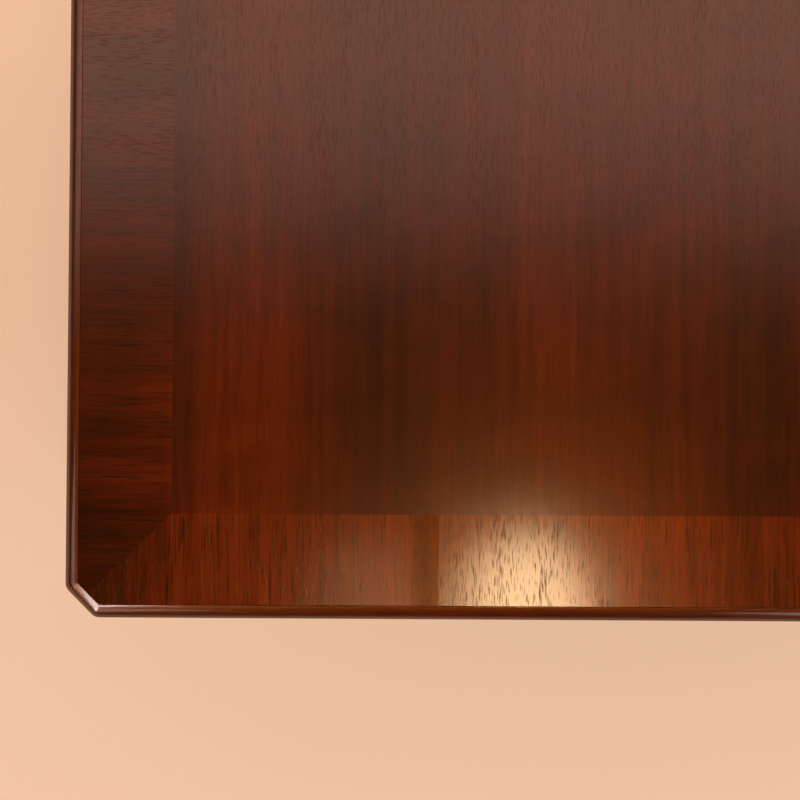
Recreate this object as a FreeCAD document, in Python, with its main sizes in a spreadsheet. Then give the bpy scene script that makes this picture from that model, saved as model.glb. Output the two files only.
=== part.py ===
"""Double pedestal dining table with an extending top, as a parametric document.

X runs along the table, Y across it and Z up from the floor, in millimetres. The pieces of the left
half are built one by one, and most of the right half is their mirror image in the seam at X = 0.
"""

import math
import os
import re

import FreeCAD
import Part
import Sketcher

SIZES = {
    "table_length": 1830,
    "table_width": 1118,
    "table_height": 756,
    "seam_gap": 0.4,
    "core_thickness": 24,
    "veneer_thickness": 1,
    "end_band_width": 94,
    "side_band_width": 91,
    "clip": 30,
    "edge_width": 15,
    "edge_drop": 15,
    "edge_under_round": 5,
    "edge_crest": 0.5,
    "quirk_width": 1.2,
    "quirk_depth": 3,
    "apron_setback": 70,
    "apron_height": 62,
    "apron_thickness": 20,
    "apron_clip": 45,
    "bead_height": 10,
    "bead_depth": 4,
    "glue_block_leg": 24,
    "glue_block_length": 70,
    "pin_diameter": 10,
    "pin_depth": 20,
    "pin_reach": 18,
    "pin_latch_gap": 4,
    "pin_clearance": 0.15,
    "pedestal_offset": 460,
    "block_length": 300,
    "block_width": 300,
    "block_thickness": 38,
    "block_screw_inset": 28,
    "slide_gap": 18,
    "slide_clearance": 0.5,
    "rail_width": 28,
    "rail_height": 52,
    "rail_end_gap": 175,
    "rail_reach": 400,
    "middle_rail_length": 1000,
    "tongue_depth": 9,
    "tongue_root": 12,
    "tongue_tip": 18,
    "packer_setback": 60,
    "lever_headroom": 1.4,
    "rail_screw_inset": 30,
    "screw_diameter": 5,
    "screw_head_diameter": 9,
    "screw_head_height": 3,
    "screw_bite": 14,
    "screw_clearance": 0.1,
    "hub_bottom": 150,
    "hub_radius": 66,
    "hub_flat": 56,
    "hub_collar": 10,
    "ring_height": 16,
    "ring_overhang": 7,
    "urn_foot_radius": 46,
    "urn_radius": 80,
    "urn_neck_radius": 36,
    "urn_belly_height": 96,
    "urn_shoulder_height": 38,
    "urn_neck_height": 40,
    "shaft_foot_radius": 40,
    "shaft_head_radius": 35,
    "necking_height": 26,
    "ovolo_height": 26,
    "abacus_radius": 72,
    "abacus_height": 14,
    "leg_width": 48,
    "leg_joint_height": 112,
    "leg_pad_length": 44,
    "leg_edge_round": 5,
    "knee_reach": 185,
    "knee_height": 196,
    "arch_reach": 165,
    "arch_height": 118,
    "foot_reach": 455,
    "toe_height": 43,
    "toe_width": 36,
    "dovetail_depth": 18,
    "dovetail_root": 14,
    "dovetail_tip": 22,
    "dovetail_shoulder": 20,
    "dovetail_clearance": 0.2,
    "cap_length": 65,
    "cap_wall": 2,
    "cap_nose_wall": 14,
    "cap_nose_height": 31,
    "cap_nose_round": 10,
    "cap_clearance": 0.2,
    "glide_height": 5,
    "glide_radius": 15,
    "glide_taper": 2,
    "plate_thickness": 4,
    "plate_arm_width": 32,
    "plate_margin": 2,
    "plate_screw_pitch": 17,
    "rod_diameter": 10,
    "rod_clearance": 1,
    "rod_end": 4,
    "nut_width": 17,
    "nut_height": 8,
    "nut_clearance": 0.1,
    "washer_diameter": 28,
    "washer_thickness": 2,
    "drop_radius": 38,
    "drop_waist": 22,
    "drop_height": 36,
    "drop_cavity_radius": 12,
    "drop_cavity_depth": 18,
    "latch_setback": 42,
    "latch_reach": 72,
    "latch_width": 18,
    "latch_tail": 30,
    "latch_thickness": 4,
    "latch_clearance": 0.3,
    "latch_pivot_diameter": 8,
    "latch_head_diameter": 13,
    "latch_head_height": 3,
    "latch_hook_wall": 9,
    "hook_clearance": 1,
    "fitting_thickness": 2,
    "fitting_length": 44,
    "fitting_width": 44,
    "fitting_screw_inset": 7,
}

FIELD_LEAVES = 3
SCREWS_PER_RAIL = 5
LEG_NAMES = ("back_inner", "back_outer", "front_outer", "front_inner")
ALONG_X = FreeCAD.Vector(1, 0, 0)
ACROSS_Y = FreeCAD.Vector(0, 1, 0)
UP_Z = FreeCAD.Vector(0, 0, 1)

# A bend is the tangent of a quarter of an arc's angle; an outline drawn anticlockwise swells where it is positive.
HALF_TURN = 1.0
QUARTER_TURN = math.tan(math.radians(22.5))

# Expressions that several pieces share. MITRE is what a stick loses per width at a corner of 135 degrees.
MITRE = "(sqrt(2) - 1)"
HALF_LENGTH = "(table_length / 2)"
HALF_WIDTH = "(table_width / 2)"
SEAM = "(seam_gap / 2)"
CORE_TOP = "(table_height - veneer_thickness)"
CORE_UNDERSIDE = f"({CORE_TOP} - core_thickness)"
FIELD_LENGTH = f"({HALF_LENGTH} - edge_width - end_band_width - {SEAM})"
FIELD_HALF_WIDTH = f"({HALF_WIDTH} - edge_width - side_band_width)"
BLOCK_UNDERSIDE = f"({CORE_UNDERSIDE} - block_thickness)"
WASHER_SEAT = f"({CORE_UNDERSIDE} - rod_end - nut_height - washer_thickness)"
INNER_RAIL = "(block_width / 2 + slide_gap + rail_width / 2)"
RAIL_PITCH = "(rail_width + slide_clearance)"
PLATE_UNDERSIDE = "(hub_bottom - plate_thickness)"
SHOULDER = "(foot_reach - cap_length)"
LEG_TURNS = [45 + 90 * quarter for quarter in range(len(LEG_NAMES))]
BEHIND_END_APRON = f"({HALF_LENGTH} - apron_setback - apron_thickness)"
BEHIND_SIDE_APRON = f"({HALF_WIDTH} - apron_setback - apron_thickness)"
OUTER_RAIL = f"({INNER_RAIL} + 2 * {RAIL_PITCH})"
RAIL_START = f"(rail_end_gap - {BEHIND_END_APRON})"
PACKER_THICKNESS = "(fitting_thickness + latch_thickness + 2 * latch_clearance + lever_headroom)"
RAIL_TOP = f"({CORE_UNDERSIDE} - {PACKER_THICKNESS})"
LATCH_ROW = f"(({OUTER_RAIL} + rail_width / 2 + {BEHIND_SIDE_APRON}) / 2)"
OUTER_PIN = f"({LATCH_ROW} - fitting_width / 2 - pin_latch_gap - pin_diameter / 2)"
PIN_ROWS = (f"-{OUTER_PIN}", "0", OUTER_PIN)

doc = FreeCAD.newDocument("pedestal_table")
sheet = doc.addObject("Spreadsheet::Sheet", "Dims")
for row, (name, size) in enumerate(SIZES.items(), start=1):
    sheet.set(f"A{row}", name)
    sheet.set(f"B{row}", str(size))
    sheet.setAlias(f"B{row}", name)
doc.recompute()

nodes = {}


def bound(text):
    """Expression text with every size name pointed at its cell of the sheet."""
    return re.sub(r"[a-z]\w*", lambda word: f"Dims.{word[0]}" if word[0] in SIZES else word[0], text)


def value(text):
    """Number that an expression over the sizes stands for."""
    return float(sheet.evalExpression(bound(text)))


def bind(item, **expressions):
    """Tie properties of an object to expressions over the sizes."""
    for name, text in expressions.items():
        item.setExpression(name, bound(text))


def place(item, x="0", y="0", z="0", turn=0):
    """Put an object at a point, turned about Z by an angle in degrees."""
    item.Placement = FreeCAD.Placement(FreeCAD.Vector(), FreeCAD.Rotation(UP_Z, turn))
    for axis, text in zip("xyz", (x, y, z)):
        item.setExpression(f"Placement.Base.{axis}", bound(text))
    return item


def new_body(label):
    """Empty PartDesign body."""
    body = doc.addObject("PartDesign::Body", label)
    body.Label = label
    return body


def arc_middle(start, end, bend):
    """Middle point of the arc that a bend makes of the chord from start to end."""
    chord = end - start
    right = FreeCAD.Vector(chord.y, -chord.x, 0)
    return (start + end) * 0.5 + right * (bend / 2)


def draw(body, name, plane, outlines=(), circles=(), lift="0"):
    """Sketch on an origin plane of the body, raised from it by a lift.

    An outline is a list of points (x, y) or (x, y, bend), where a bend turns the edge to the next
    point into an arc. A circle is (x, y, radius). Every coordinate is bound to the sheet.
    """
    sketch = body.newObject("Sketcher::SketchObject", name)
    origin = [item for item in body.Origin.OriginFeatures if item.Role == f"{plane}_Plane"][0]
    sketch.AttachmentSupport = [(origin, "")]
    sketch.MapMode = "FlatFace"
    sketch.setExpression("AttachmentOffset.Base.z", bound(lift))
    constraints = []
    expressions = []

    def demand(kind, *where, text):
        constraints.append(Sketcher.Constraint(kind, *where, value(text)))
        expressions.append(text)

    for points in outlines:
        ends = []
        corners = [FreeCAD.Vector(value(point[0]), value(point[1]), 0) for point in points]
        for index, point in enumerate(points):
            start = corners[index]
            end = corners[(index + 1) % len(corners)]
            bend = point[2] if len(point) > 2 else 0
            if not bend:
                edge = sketch.addGeometry(Part.LineSegment(start, end))
                ends.append((edge, 1, 2))
                continue
            edge = sketch.addGeometry(Part.Arc(start, arc_middle(start, end, bend), end))
            ends.append((edge, 1, 2) if bend > 0 else (edge, 2, 1))
            x, y = point[:2]
            next_x, next_y = points[(index + 1) % len(points)][:2]
            aside = (1 - bend ** 2) / (4 * bend)
            if abs(end.y - start.y) > abs(end.x - start.x):
                centre = f"({x} + {next_x}) / 2 - ({next_y} - ({y})) * {aside}"
                demand("DistanceX", -1, 1, edge, 3, text=centre)
            else:
                centre = f"({y} + {next_y}) / 2 + ({next_x} - ({x})) * {aside}"
                demand("DistanceY", -1, 1, edge, 3, text=centre)
        for index, point in enumerate(points):
            edge, first, _ = ends[index]
            before, _, last = ends[index - 1]
            demand("DistanceX", -1, 1, edge, first, text=point[0])
            demand("DistanceY", -1, 1, edge, first, text=point[1])
            constraints.append(Sketcher.Constraint("Coincident", before, last, edge, first))
            expressions.append(None)
    for x, y, radius in circles:
        centre = FreeCAD.Vector(value(x), value(y), 0)
        edge = sketch.addGeometry(Part.Circle(centre, UP_Z, value(radius)))
        demand("DistanceX", -1, 1, edge, 3, text=x)
        demand("DistanceY", -1, 1, edge, 3, text=y)
        demand("Radius", edge, text=radius)
    sketch.addConstraint(constraints)
    for index, text in enumerate(expressions):
        if text:
            sketch.setExpression(f"Constraints[{index}]", bound(text))
    return sketch


def smooth_bends(points):
    """Bends of a chain of arcs through the points, tangent to one another and level at its start."""
    heading = 0
    bends = []
    for start, end in zip(points, points[1:]):
        rise = value(f"{end[1]} - ({start[1]})")
        run = value(f"{end[0]} - ({start[0]})")
        chord = math.atan2(rise, run)
        bends.append(math.tan((chord - heading) / 2))
        heading = 2 * chord - heading
    return bends


def pad(body, sketch, length, symmetric=False):
    """Pad of a sketch, up from it or to both sides."""
    feature = body.newObject("PartDesign::Pad", "Pad")
    feature.Profile = sketch
    feature.SideType = "Symmetric" if symmetric else "One side"
    bind(feature, Length=length)
    doc.recompute()
    return feature


def pocket(body, sketch, length=None, upward=False):
    """Pocket of a sketch: a length into the body, or through all of it. It has to remove something."""
    before = body.Shape.Volume
    feature = body.newObject("PartDesign::Pocket", "Pocket")
    feature.Profile = sketch
    if length is None:
        feature.Type = "ThroughAll"
        feature.SideType = "Symmetric"
    else:
        feature.Reversed = upward
        bind(feature, Length=length)
    doc.recompute()
    if body.Shape.Volume >= before:
        raise ValueError(f"{body.Label}: {sketch.Label} cuts nothing")
    return feature


def round_edges(body, feature, edges, radius):
    """Fillet of some edges of a feature's shape."""
    names = [f"Edge{index}" for index, edge in enumerate(feature.Shape.Edges, start=1)
             if any(edge.isSame(wanted) for wanted in edges)]
    fillet = body.newObject("PartDesign::Fillet", "Fillet")
    fillet.Base = (feature, names)
    bind(fillet, Radius=radius)
    doc.recompute()
    return fillet


def turn_on_lathe(body, sketch):
    """Full turn of a sketch about the body's upright axis."""
    feature = body.newObject("PartDesign::Revolution", "Revolution")
    feature.Profile = sketch
    feature.ReferenceAxis = (sketch, ["V_Axis"])
    feature.Angle = 360
    doc.recompute()
    return feature


def box(name, length, width, height, **where):
    """Box with its lowest corner at a point."""
    item = doc.addObject("Part::Box", name)
    bind(item, Length=length, Width=width, Height=height)
    return place(item, **where)


def cylinder(name, radius, height, **where):
    """Upright cylinder that stands on a point."""
    item = doc.addObject("Part::Cylinder", name)
    bind(item, Radius=radius, Height=height)
    return place(item, **where)


def cut(name, base, tool):
    """One object less another."""
    item = doc.addObject("Part::Cut", name)
    item.Base = base
    item.Tool = tool
    return item


def group(name, pieces):
    """Separate solids kept together."""
    item = doc.addObject("Part::Compound", name)
    item.Links = pieces
    return item


def mirror(piece, normal, name="mirror_image"):
    """Mirror image of a piece in the plane through the origin with this normal."""
    item = doc.addObject("Part::Mirroring", name)
    item.Source = piece
    item.Normal = normal
    return item


def both_sides(piece):
    """A piece and its mirror image on the other side of the table."""
    return [piece, mirror(piece, ACROSS_Y)]


def node(label, item):
    """Name an object as one of the table's sub-parts."""
    item.Label = label
    nodes[label] = item
    return item


def node_pair(name, piece):
    """Sub-part of the left half and its mirror image on the right half."""
    node(f"left_{name}", piece)
    node(f"right_{name}", mirror(piece, ALONG_X))


def screws_upward(name, places, seat, grip):
    """Round-headed screws driven upward at the places, and the drills that clear their shanks.

    The heads bear on the seat's height, and each shank passes the grip and bites into the wood above.
    """
    length = f"{grip} + screw_bite"
    screws = []
    drills = []
    for x, y in places:
        shank = cylinder("shank", "screw_diameter / 2", length, x=x, y=y, z=seat)
        head_foot = f"{seat} - screw_head_height"
        head = cylinder("head", "screw_head_diameter / 2", "screw_head_height", x=x, y=y, z=head_foot)
        screw = doc.addObject("Part::Fuse", "screw")
        screw.Base = shank
        screw.Tool = head
        screws.append(screw)
        hole = "screw_diameter / 2 + screw_clearance"
        drills.append(cylinder("drill", hole, length, x=x, y=y, z=seat))
    return group(name, screws), group(f"{name}_drills", drills)


def stick(name, length, width, height, square_end=False):
    """Stick along X with its outer edge on the axis, mitred at its start and, unless square, at its end."""
    body = new_body(name)
    trim = f"({width}) * {MITRE}"
    far = length if square_end else f"{length} - {trim}"
    plan = draw(body, "plan", "XY", [[("0", "0"), (length, "0"), (far, width), (trim, width)]])
    pad(body, plan, height)
    return body


def round_below(under):
    """Outline that takes a quarter round off a stick's lower outer edge."""
    return [("0", "0"), (under, "0", -QUARTER_TURN), ("0", under)]


def round_above(width, height, drop):
    """Outline that takes a quarter round off a stick's upper outer edge."""
    return [("0", f"{height} - {drop}", -QUARTER_TURN), (width, height), ("0", height)]


def quirked_round_above():
    """Outline that leaves the edge moulding's ovolo, with a narrow groove between it and the veneer."""
    crest = "edge_width - quirk_width"
    groove_floor = "core_thickness - quirk_depth"
    return [
        ("0", "core_thickness - edge_drop", -QUARTER_TURN),
        (crest, "core_thickness - edge_crest"),
        (crest, groove_floor),
        ("edge_width", groove_floor),
        ("edge_width", "core_thickness"),
        ("0", "core_thickness"),
    ]


def stick_run(name, inset, clip, width, height, foot):
    """Sticks round half the table's outline at an inset: the end, and the corner and side in front."""
    half_length = f"({HALF_LENGTH} - ({inset}))"
    half_width = f"({HALF_WIDTH} - ({inset}))"
    end = stick(f"{name}_end", f"2 * ({half_width} - ({clip}))", width, height)
    place(end, f"-{half_length}", f"{half_width} - ({clip})", foot, -90)
    corner = stick(f"{name}_corner", f"({clip}) * sqrt(2)", width, height)
    place(corner, f"-{half_length}", f"-{half_width} + ({clip})", foot, -45)
    side = stick(f"{name}_side", f"{half_length} - ({clip}) - {SEAM}", width, height, square_end=True)
    place(side, f"-{half_length} + ({clip})", f"-{half_width}", foot)
    return end, corner, side


def panel_corner():
    """Inner corners of the edge moulding at the front clip, and the middle of the clip between them."""
    step = f"(clip + edge_width * {MITRE})"
    on_end = (f"-{HALF_LENGTH} + edge_width", f"-{HALF_WIDTH} + {step}")
    on_side = (f"-{HALF_LENGTH} + {step}", f"-{HALF_WIDTH} + edge_width")
    middle = (f"-{HALF_LENGTH} + ({step} + edge_width) / 2", f"-{HALF_WIDTH} + ({step} + edge_width) / 2")
    return on_end, on_side, middle


def to_back(point):
    """The same point at the back of the table."""
    return point[0], f"-({point[1]})"


def core_panel():
    """Core of one half of the top, with the pin holes in its seam edge."""
    on_end, on_side, _ = panel_corner()
    seam_front = (f"-{SEAM}", f"-{HALF_WIDTH} + edge_width")
    front = [on_end, on_side, seam_front]
    body = new_body("core_panel")
    plan = draw(body, "plan", "XY", [front + [to_back(point) for point in reversed(front)]])
    pad(body, plan, "core_thickness")
    hole = "pin_diameter / 2 + pin_clearance"
    circles = [(row, "core_thickness / 2", hole) for row in PIN_ROWS]
    pin_holes = draw(body, "pin_holes", "YZ", circles=circles, lift=f"-{SEAM}")
    pocket(body, pin_holes, "pin_depth")
    return place(body, z=CORE_UNDERSIDE)


def alignment_pins():
    """Pins that stand out of the left half's seam edge."""
    pins = []
    for row in PIN_ROWS:
        body = new_body("pin")
        section = draw(body, "section", "YZ", circles=[("0", "0", "pin_diameter / 2")])
        pad(body, section, "pin_depth + seam_gap + pin_reach")
        place(body, f"-{SEAM} - pin_depth", row, f"{CORE_UNDERSIDE} + core_thickness / 2")
        pins.append(body)
    node("alignment_pins", group("pins", pins))


def veneers():
    """Field leaves and the crossbands round them, mitred from the field's corner to the clip."""
    leaf = f"({FIELD_LENGTH} / {FIELD_LEAVES})"
    leaves = []
    for index in range(FIELD_LEAVES):
        x = f"-{SEAM} - {FIELD_LENGTH} + {index} * {leaf}"
        width = f"2 * {FIELD_HALF_WIDTH}"
        leaves.append(box("leaf", leaf, width, "veneer_thickness", x=x, y=f"-{FIELD_HALF_WIDTH}", z=CORE_TOP))
    node_pair("field_veneer", group("field", leaves))

    on_end, on_side, middle = panel_corner()
    field_corner = (f"-{SEAM} - {FIELD_LENGTH}", f"-{FIELD_HALF_WIDTH}")
    end_half = [on_end, middle, field_corner]
    end_band = new_body("end_band")
    outline = end_half + [to_back(point) for point in reversed(end_half)]
    pad(end_band, draw(end_band, "plan", "XY", [outline]), "veneer_thickness")
    node_pair("end_band", place(end_band, z=CORE_TOP))

    side_band = new_body("side_band")
    seam_outer = (f"-{SEAM}", f"-{HALF_WIDTH} + edge_width")
    seam_inner = (f"-{SEAM}", f"-{FIELD_HALF_WIDTH}")
    outline = [on_side, seam_outer, seam_inner, field_corner, middle]
    pad(side_band, draw(side_band, "plan", "XY", [outline]), "veneer_thickness")
    place(side_band, z=CORE_TOP)
    node_pair("side_bands", group("side_band_pair", both_sides(side_band)))


def edge_mouldings():
    """Ovolo moulding round the top, with a quirk between it and the veneer."""
    run = stick_run("edge", "0", "clip", "edge_width", "core_thickness", CORE_UNDERSIDE)
    for piece in run:
        waste = [quirked_round_above(), round_below("edge_under_round")]
        pocket(piece, draw(piece, "profile", "YZ", waste))
    end, corner, side = run
    node_pair("end_moulding", end)
    node_pair("corner_mouldings", group("corner_moulding_pair", both_sides(corner)))
    node_pair("side_mouldings", group("side_moulding_pair", both_sides(side)))


def aprons():
    """Aprons with canted corners, the bead along their foot and the glue blocks behind them."""
    foot = f"{CORE_UNDERSIDE} - apron_height"
    end, corner, side = stick_run("apron", "apron_setback", "apron_clip", "apron_thickness", "apron_height", foot)
    node_pair("end_apron", end)
    node_pair("corner_aprons", group("corner_apron_pair", both_sides(corner)))
    node_pair("side_aprons", group("side_apron_pair", both_sides(side)))

    inset = "apron_setback - bead_depth"
    clip = "apron_clip + bead_depth * (2 - sqrt(2))"
    run = stick_run("bead", inset, clip, "bead_depth", "bead_height", foot)
    for piece in run:
        waste = [round_above("bead_depth", "bead_height", "bead_depth"), round_below("bead_depth")]
        pocket(piece, draw(piece, "profile", "YZ", waste))
    end, corner, side = run
    node_pair("apron_bead", group("beads", [end] + both_sides(corner) + both_sides(side)))

    blocks = []
    for share in (-0.5, 0, 0.5):
        y = f"{share} * {BEHIND_SIDE_APRON}"
        blocks.append(place(glue_block(), f"-{BEHIND_END_APRON}", y, CORE_UNDERSIDE, -90))
    for share in (0.25, 0.5, 0.75):
        x = f"-{share} * {BEHIND_END_APRON}"
        block = place(glue_block(), x, f"-{BEHIND_SIDE_APRON}", CORE_UNDERSIDE)
        blocks.extend(both_sides(block))
    node_pair("glue_blocks", group("blocks", blocks))


def glue_block():
    """Triangular block along X in the corner below and inside of the origin."""
    body = new_body("glue_block")
    corner = [("0", "0"), ("0", "-glue_block_leg"), ("glue_block_leg", "0")]
    pad(body, draw(body, "section", "YZ", [corner]), "glue_block_length", symmetric=True)
    return body


def fixed_rail(groove_side):
    """Rail along X, centred on its axis and hung from it, with a dovetail groove in one face."""
    body = new_body("fixed_rail")
    half = "rail_width / 2"
    outline = [(f"-{half}", "-rail_height"), (half, "-rail_height"), (half, "0"), (f"-{half}", "0")]
    pad(body, draw(body, "section", "YZ", [outline]), f"rail_reach - {RAIL_START}")
    slope = "(tongue_tip - tongue_root) / 2 / tongue_depth"
    mouth = f"(tongue_root / 2 + slide_clearance * (1 + {slope}))"
    floor = f"({mouth} + tongue_depth * {slope})"
    middle = "-rail_height / 2"
    face = f"{groove_side} * ({half})"
    bottom = f"{groove_side} * ({half} - tongue_depth)"
    groove = [(face, f"{middle} - {mouth}"), (face, f"{middle} + {mouth}"),
              (bottom, f"{middle} + {floor}"), (bottom, f"{middle} - {floor}")]
    pocket(body, draw(body, "groove", "YZ", [groove]))
    return body


def hung_rails(half, row, groove_side):
    """Rails of one half on both sides of the table, hung from packers under the left half's core.

    Gives the rails, packers, screws and drills as the left half would carry them.
    """
    packer_length = f"(-{RAIL_START} - packer_setback)"
    packer = box("packer", packer_length, "rail_width", PACKER_THICKNESS,
                 x=RAIL_START, y=f"-{row} - rail_width / 2", z=RAIL_TOP)
    rail = place(fixed_rail(groove_side), RAIL_START, f"-{row}", RAIL_TOP)
    step = f"(({packer_length} - 2 * rail_screw_inset) / {SCREWS_PER_RAIL - 1})"
    places = []
    for index in range(SCREWS_PER_RAIL):
        x = f"{RAIL_START} + rail_screw_inset + {index} * {step}"
        places.append((x, f"-{row}"))
        places.append((x, row))
    seat = f"{RAIL_TOP} - rail_height"
    screws, drills = screws_upward(f"{half}_screws", places, seat, f"(rail_height + {PACKER_THICKNESS})")
    rails = cut(f"{half}_rails", group("rail_pair", both_sides(rail)), drills)
    packers = cut(f"{half}_packers", group("packer_pair", both_sides(packer)), drills)
    return rails, packers, screws, drills


def middle_rails():
    """Rails between the fixed ones, with a dovetail tongue on both faces."""
    body = new_body("middle_rail")
    half = "rail_width / 2"
    tip = "(rail_width / 2 + tongue_depth)"
    middle = "-rail_height / 2"
    right = [(half, "-rail_height"), (half, f"{middle} - tongue_root / 2"), (tip, f"{middle} - tongue_tip / 2"),
             (tip, f"{middle} + tongue_tip / 2"), (half, f"{middle} + tongue_root / 2"), (half, "0")]
    left = [(f"-{x}", y) for x, y in reversed(right)]
    pad(body, draw(body, "section", "YZ", [right + left]), "middle_rail_length", symmetric=True)
    place(body, "0", f"-({INNER_RAIL} + {RAIL_PITCH})", RAIL_TOP)
    node("middle_slide_rails", group("middle_rail_pair", both_sides(body)))


def mounting_block():
    """Block under the core that carries the column, with the tie rod's hole, and its screws and drills."""
    body = new_body("block")
    length = "block_length / 2"
    width = "block_width / 2"
    outline = [(f"-{length}", f"-{width}"), (length, f"-{width}"), (length, width), (f"-{length}", width)]
    pad(body, draw(body, "plan", "XY", [outline]), "block_thickness")
    bore = [("0", "0", "rod_diameter / 2 + rod_clearance")]
    pocket(body, draw(body, "rod_hole", "XY", circles=bore))
    recess = [("0", "0", "washer_diameter / 2 + rod_clearance")]
    mouth = draw(body, "nut_recess", "XY", circles=recess, lift="block_thickness")
    pocket(body, mouth, "rod_end + nut_height + washer_thickness")
    place(body, "-pedestal_offset", z=BLOCK_UNDERSIDE)
    places = []
    for along in ("-1", "0", "1"):
        for across in ("-1", "1"):
            x = f"-pedestal_offset + {along} * (block_length / 2 - block_screw_inset)"
            places.append((x, f"{across} * (block_width / 2 - block_screw_inset)"))
    screws, drills = screws_upward("block_screws", places, BLOCK_UNDERSIDE, "block_thickness")
    return cut("drilled_block", body, drills), screws, drills


def column():
    """Turned column: hub, ring, urn, ring, shaft, necking, ovolo and abacus, bored for the tie rod."""
    hub_top = "(hub_bottom + leg_joint_height + hub_collar)"
    urn_foot = f"({hub_top} + ring_height)"
    belly = f"({urn_foot} + urn_belly_height)"
    shoulder = f"({belly} + urn_shoulder_height)"
    urn_top = f"({shoulder} + urn_neck_height)"
    shaft_foot = f"({urn_top} + ring_height)"
    abacus_foot = f"({BLOCK_UNDERSIDE} - abacus_height)"
    ovolo_foot = f"({abacus_foot} - ovolo_height)"
    neck_ring = f"({ovolo_foot} - necking_height)"
    shaft_head = f"({neck_ring} - ring_height / 2)"
    bore = "(rod_diameter / 2 + rod_clearance)"
    urn_shoulder_radius = "((urn_radius + urn_neck_radius) / 2)"
    profile = [
        (bore, "hub_bottom"),
        ("hub_radius", "hub_bottom"),
        ("hub_radius", hub_top),
        ("urn_foot_radius + ring_overhang", hub_top, HALF_TURN),
        ("urn_foot_radius + ring_overhang", urn_foot),
        ("urn_foot_radius", urn_foot, QUARTER_TURN / 2),
        ("urn_radius", belly, QUARTER_TURN / 2),
        (urn_shoulder_radius, shoulder, -QUARTER_TURN / 2),
        ("urn_neck_radius", urn_top),
        ("urn_neck_radius + ring_overhang", urn_top, HALF_TURN),
        ("urn_neck_radius + ring_overhang", shaft_foot),
        ("shaft_foot_radius", shaft_foot),
        ("shaft_head_radius", shaft_head),
        ("shaft_head_radius + ring_overhang", shaft_head, HALF_TURN),
        ("shaft_head_radius + ring_overhang", neck_ring),
        ("shaft_head_radius", neck_ring),
        ("shaft_head_radius", ovolo_foot, QUARTER_TURN),
        ("abacus_radius - ring_overhang", abacus_foot),
        ("abacus_radius", abacus_foot),
        ("abacus_radius", BLOCK_UNDERSIDE),
        (bore, BLOCK_UNDERSIDE),
    ]
    body = new_body("column")
    turn_on_lathe(body, draw(body, "profile", "XZ", [profile]))

    corners = [("hub_flat", "-hub_flat"), ("hub_flat", "hub_flat"), ("-hub_flat", "hub_flat"),
               ("-hub_flat", "-hub_flat")]
    rim = [("0", "0", "2 * hub_radius")]
    flats = draw(body, "flats", "XY", [corners], rim, lift="hub_bottom")
    pocket(body, flats, "leg_joint_height", upward=True)
    sockets = []
    for quarter in range(4):
        sockets.append([quarter_turned(point, quarter) for point in dovetail("dovetail_clearance")])
    socket_height = "leg_joint_height - dovetail_shoulder + dovetail_clearance"
    pocket(body, draw(body, "sockets", "XY", sockets, lift="hub_bottom"), socket_height, upward=True)
    node_pair("column", place(body, "-pedestal_offset", turn=45))


def dovetail(clearance):
    """Plan of the dovetail between a leg along X and the hub, larger all round by a clearance."""
    slope = "(dovetail_tip - dovetail_root) / 2 / dovetail_depth"
    root = f"(dovetail_root / 2 + {clearance})"
    tip = f"(dovetail_tip / 2 + {clearance} * (1 + {slope}))"
    end = f"hub_flat - dovetail_depth - {clearance}"
    return [("hub_flat", f"-{root}"), ("hub_flat", root), (end, tip), (end, f"-{tip}")]


def quarter_turned(point, quarters):
    """A point turned about the origin by some quarter turns."""
    x, y = point
    for _ in range(quarters):
        x, y = f"-({y})", x
    return x, y


def leg(turn):
    """Sabre leg with its dovetail at the hub and a tenon for the toe cap, tapered in plan."""
    top = [("hub_flat", "hub_bottom + leg_joint_height"), ("knee_reach", "knee_height"),
           (SHOULDER, "glide_height + toe_height")]
    underside = [("hub_flat + leg_pad_length", "hub_bottom"), ("arch_reach", "arch_height"),
                 (SHOULDER, "glide_height")]
    knee, sweep = smooth_bends(top)
    spring, arch = smooth_bends(underside)
    profile = [
        ("hub_flat", "hub_bottom"),
        underside[0] + (spring,),
        underside[1] + (arch,),
        underside[2],
        top[2] + (-sweep,),
        top[1] + (-knee,),
        top[0],
    ]
    body = new_body("leg")
    pad(body, draw(body, "side_view", "XZ", [profile]), "leg_width", symmetric=True)
    taper = [[("hub_flat", f"{side} * leg_width / 2"), (SHOULDER, f"{side} * leg_width / 2"),
              (SHOULDER, f"{side} * toe_width / 2")] for side in (-1, 1)]
    tapered = pocket(body, draw(body, "taper", "XY", taper))
    lengthwise = [edge for edge in tapered.Shape.Edges if edge.BoundBox.XLength > value("leg_edge_round")]
    round_edges(body, tapered, lengthwise, "leg_edge_round")
    tongue = draw(body, "dovetail", "XY", [dovetail("0")], lift="hub_bottom")
    pad(body, tongue, "leg_joint_height - dovetail_shoulder")
    tenon = draw(body, "tenon", "XZ", [cap_cavity("cap_clearance")])
    pad(body, tenon, "toe_width - 2 * (cap_wall + cap_clearance)", symmetric=True)
    return place(body, "-pedestal_offset", turn=turn)


def cap_cavity(clearance):
    """Side view of the space inside a toe cap, smaller all round by a clearance."""
    floor = f"glide_height + cap_wall + {clearance}"
    nose = f"foot_reach - cap_nose_wall - {clearance}"
    roof = f"glide_height - cap_wall - {clearance}"
    fall = "(toe_height - cap_nose_height) * (cap_length - cap_nose_wall) / cap_length"
    return [(SHOULDER, floor), (nose, floor), (nose, f"{roof} + toe_height - {fall}"),
            (SHOULDER, f"{roof} + toe_height")]


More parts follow.
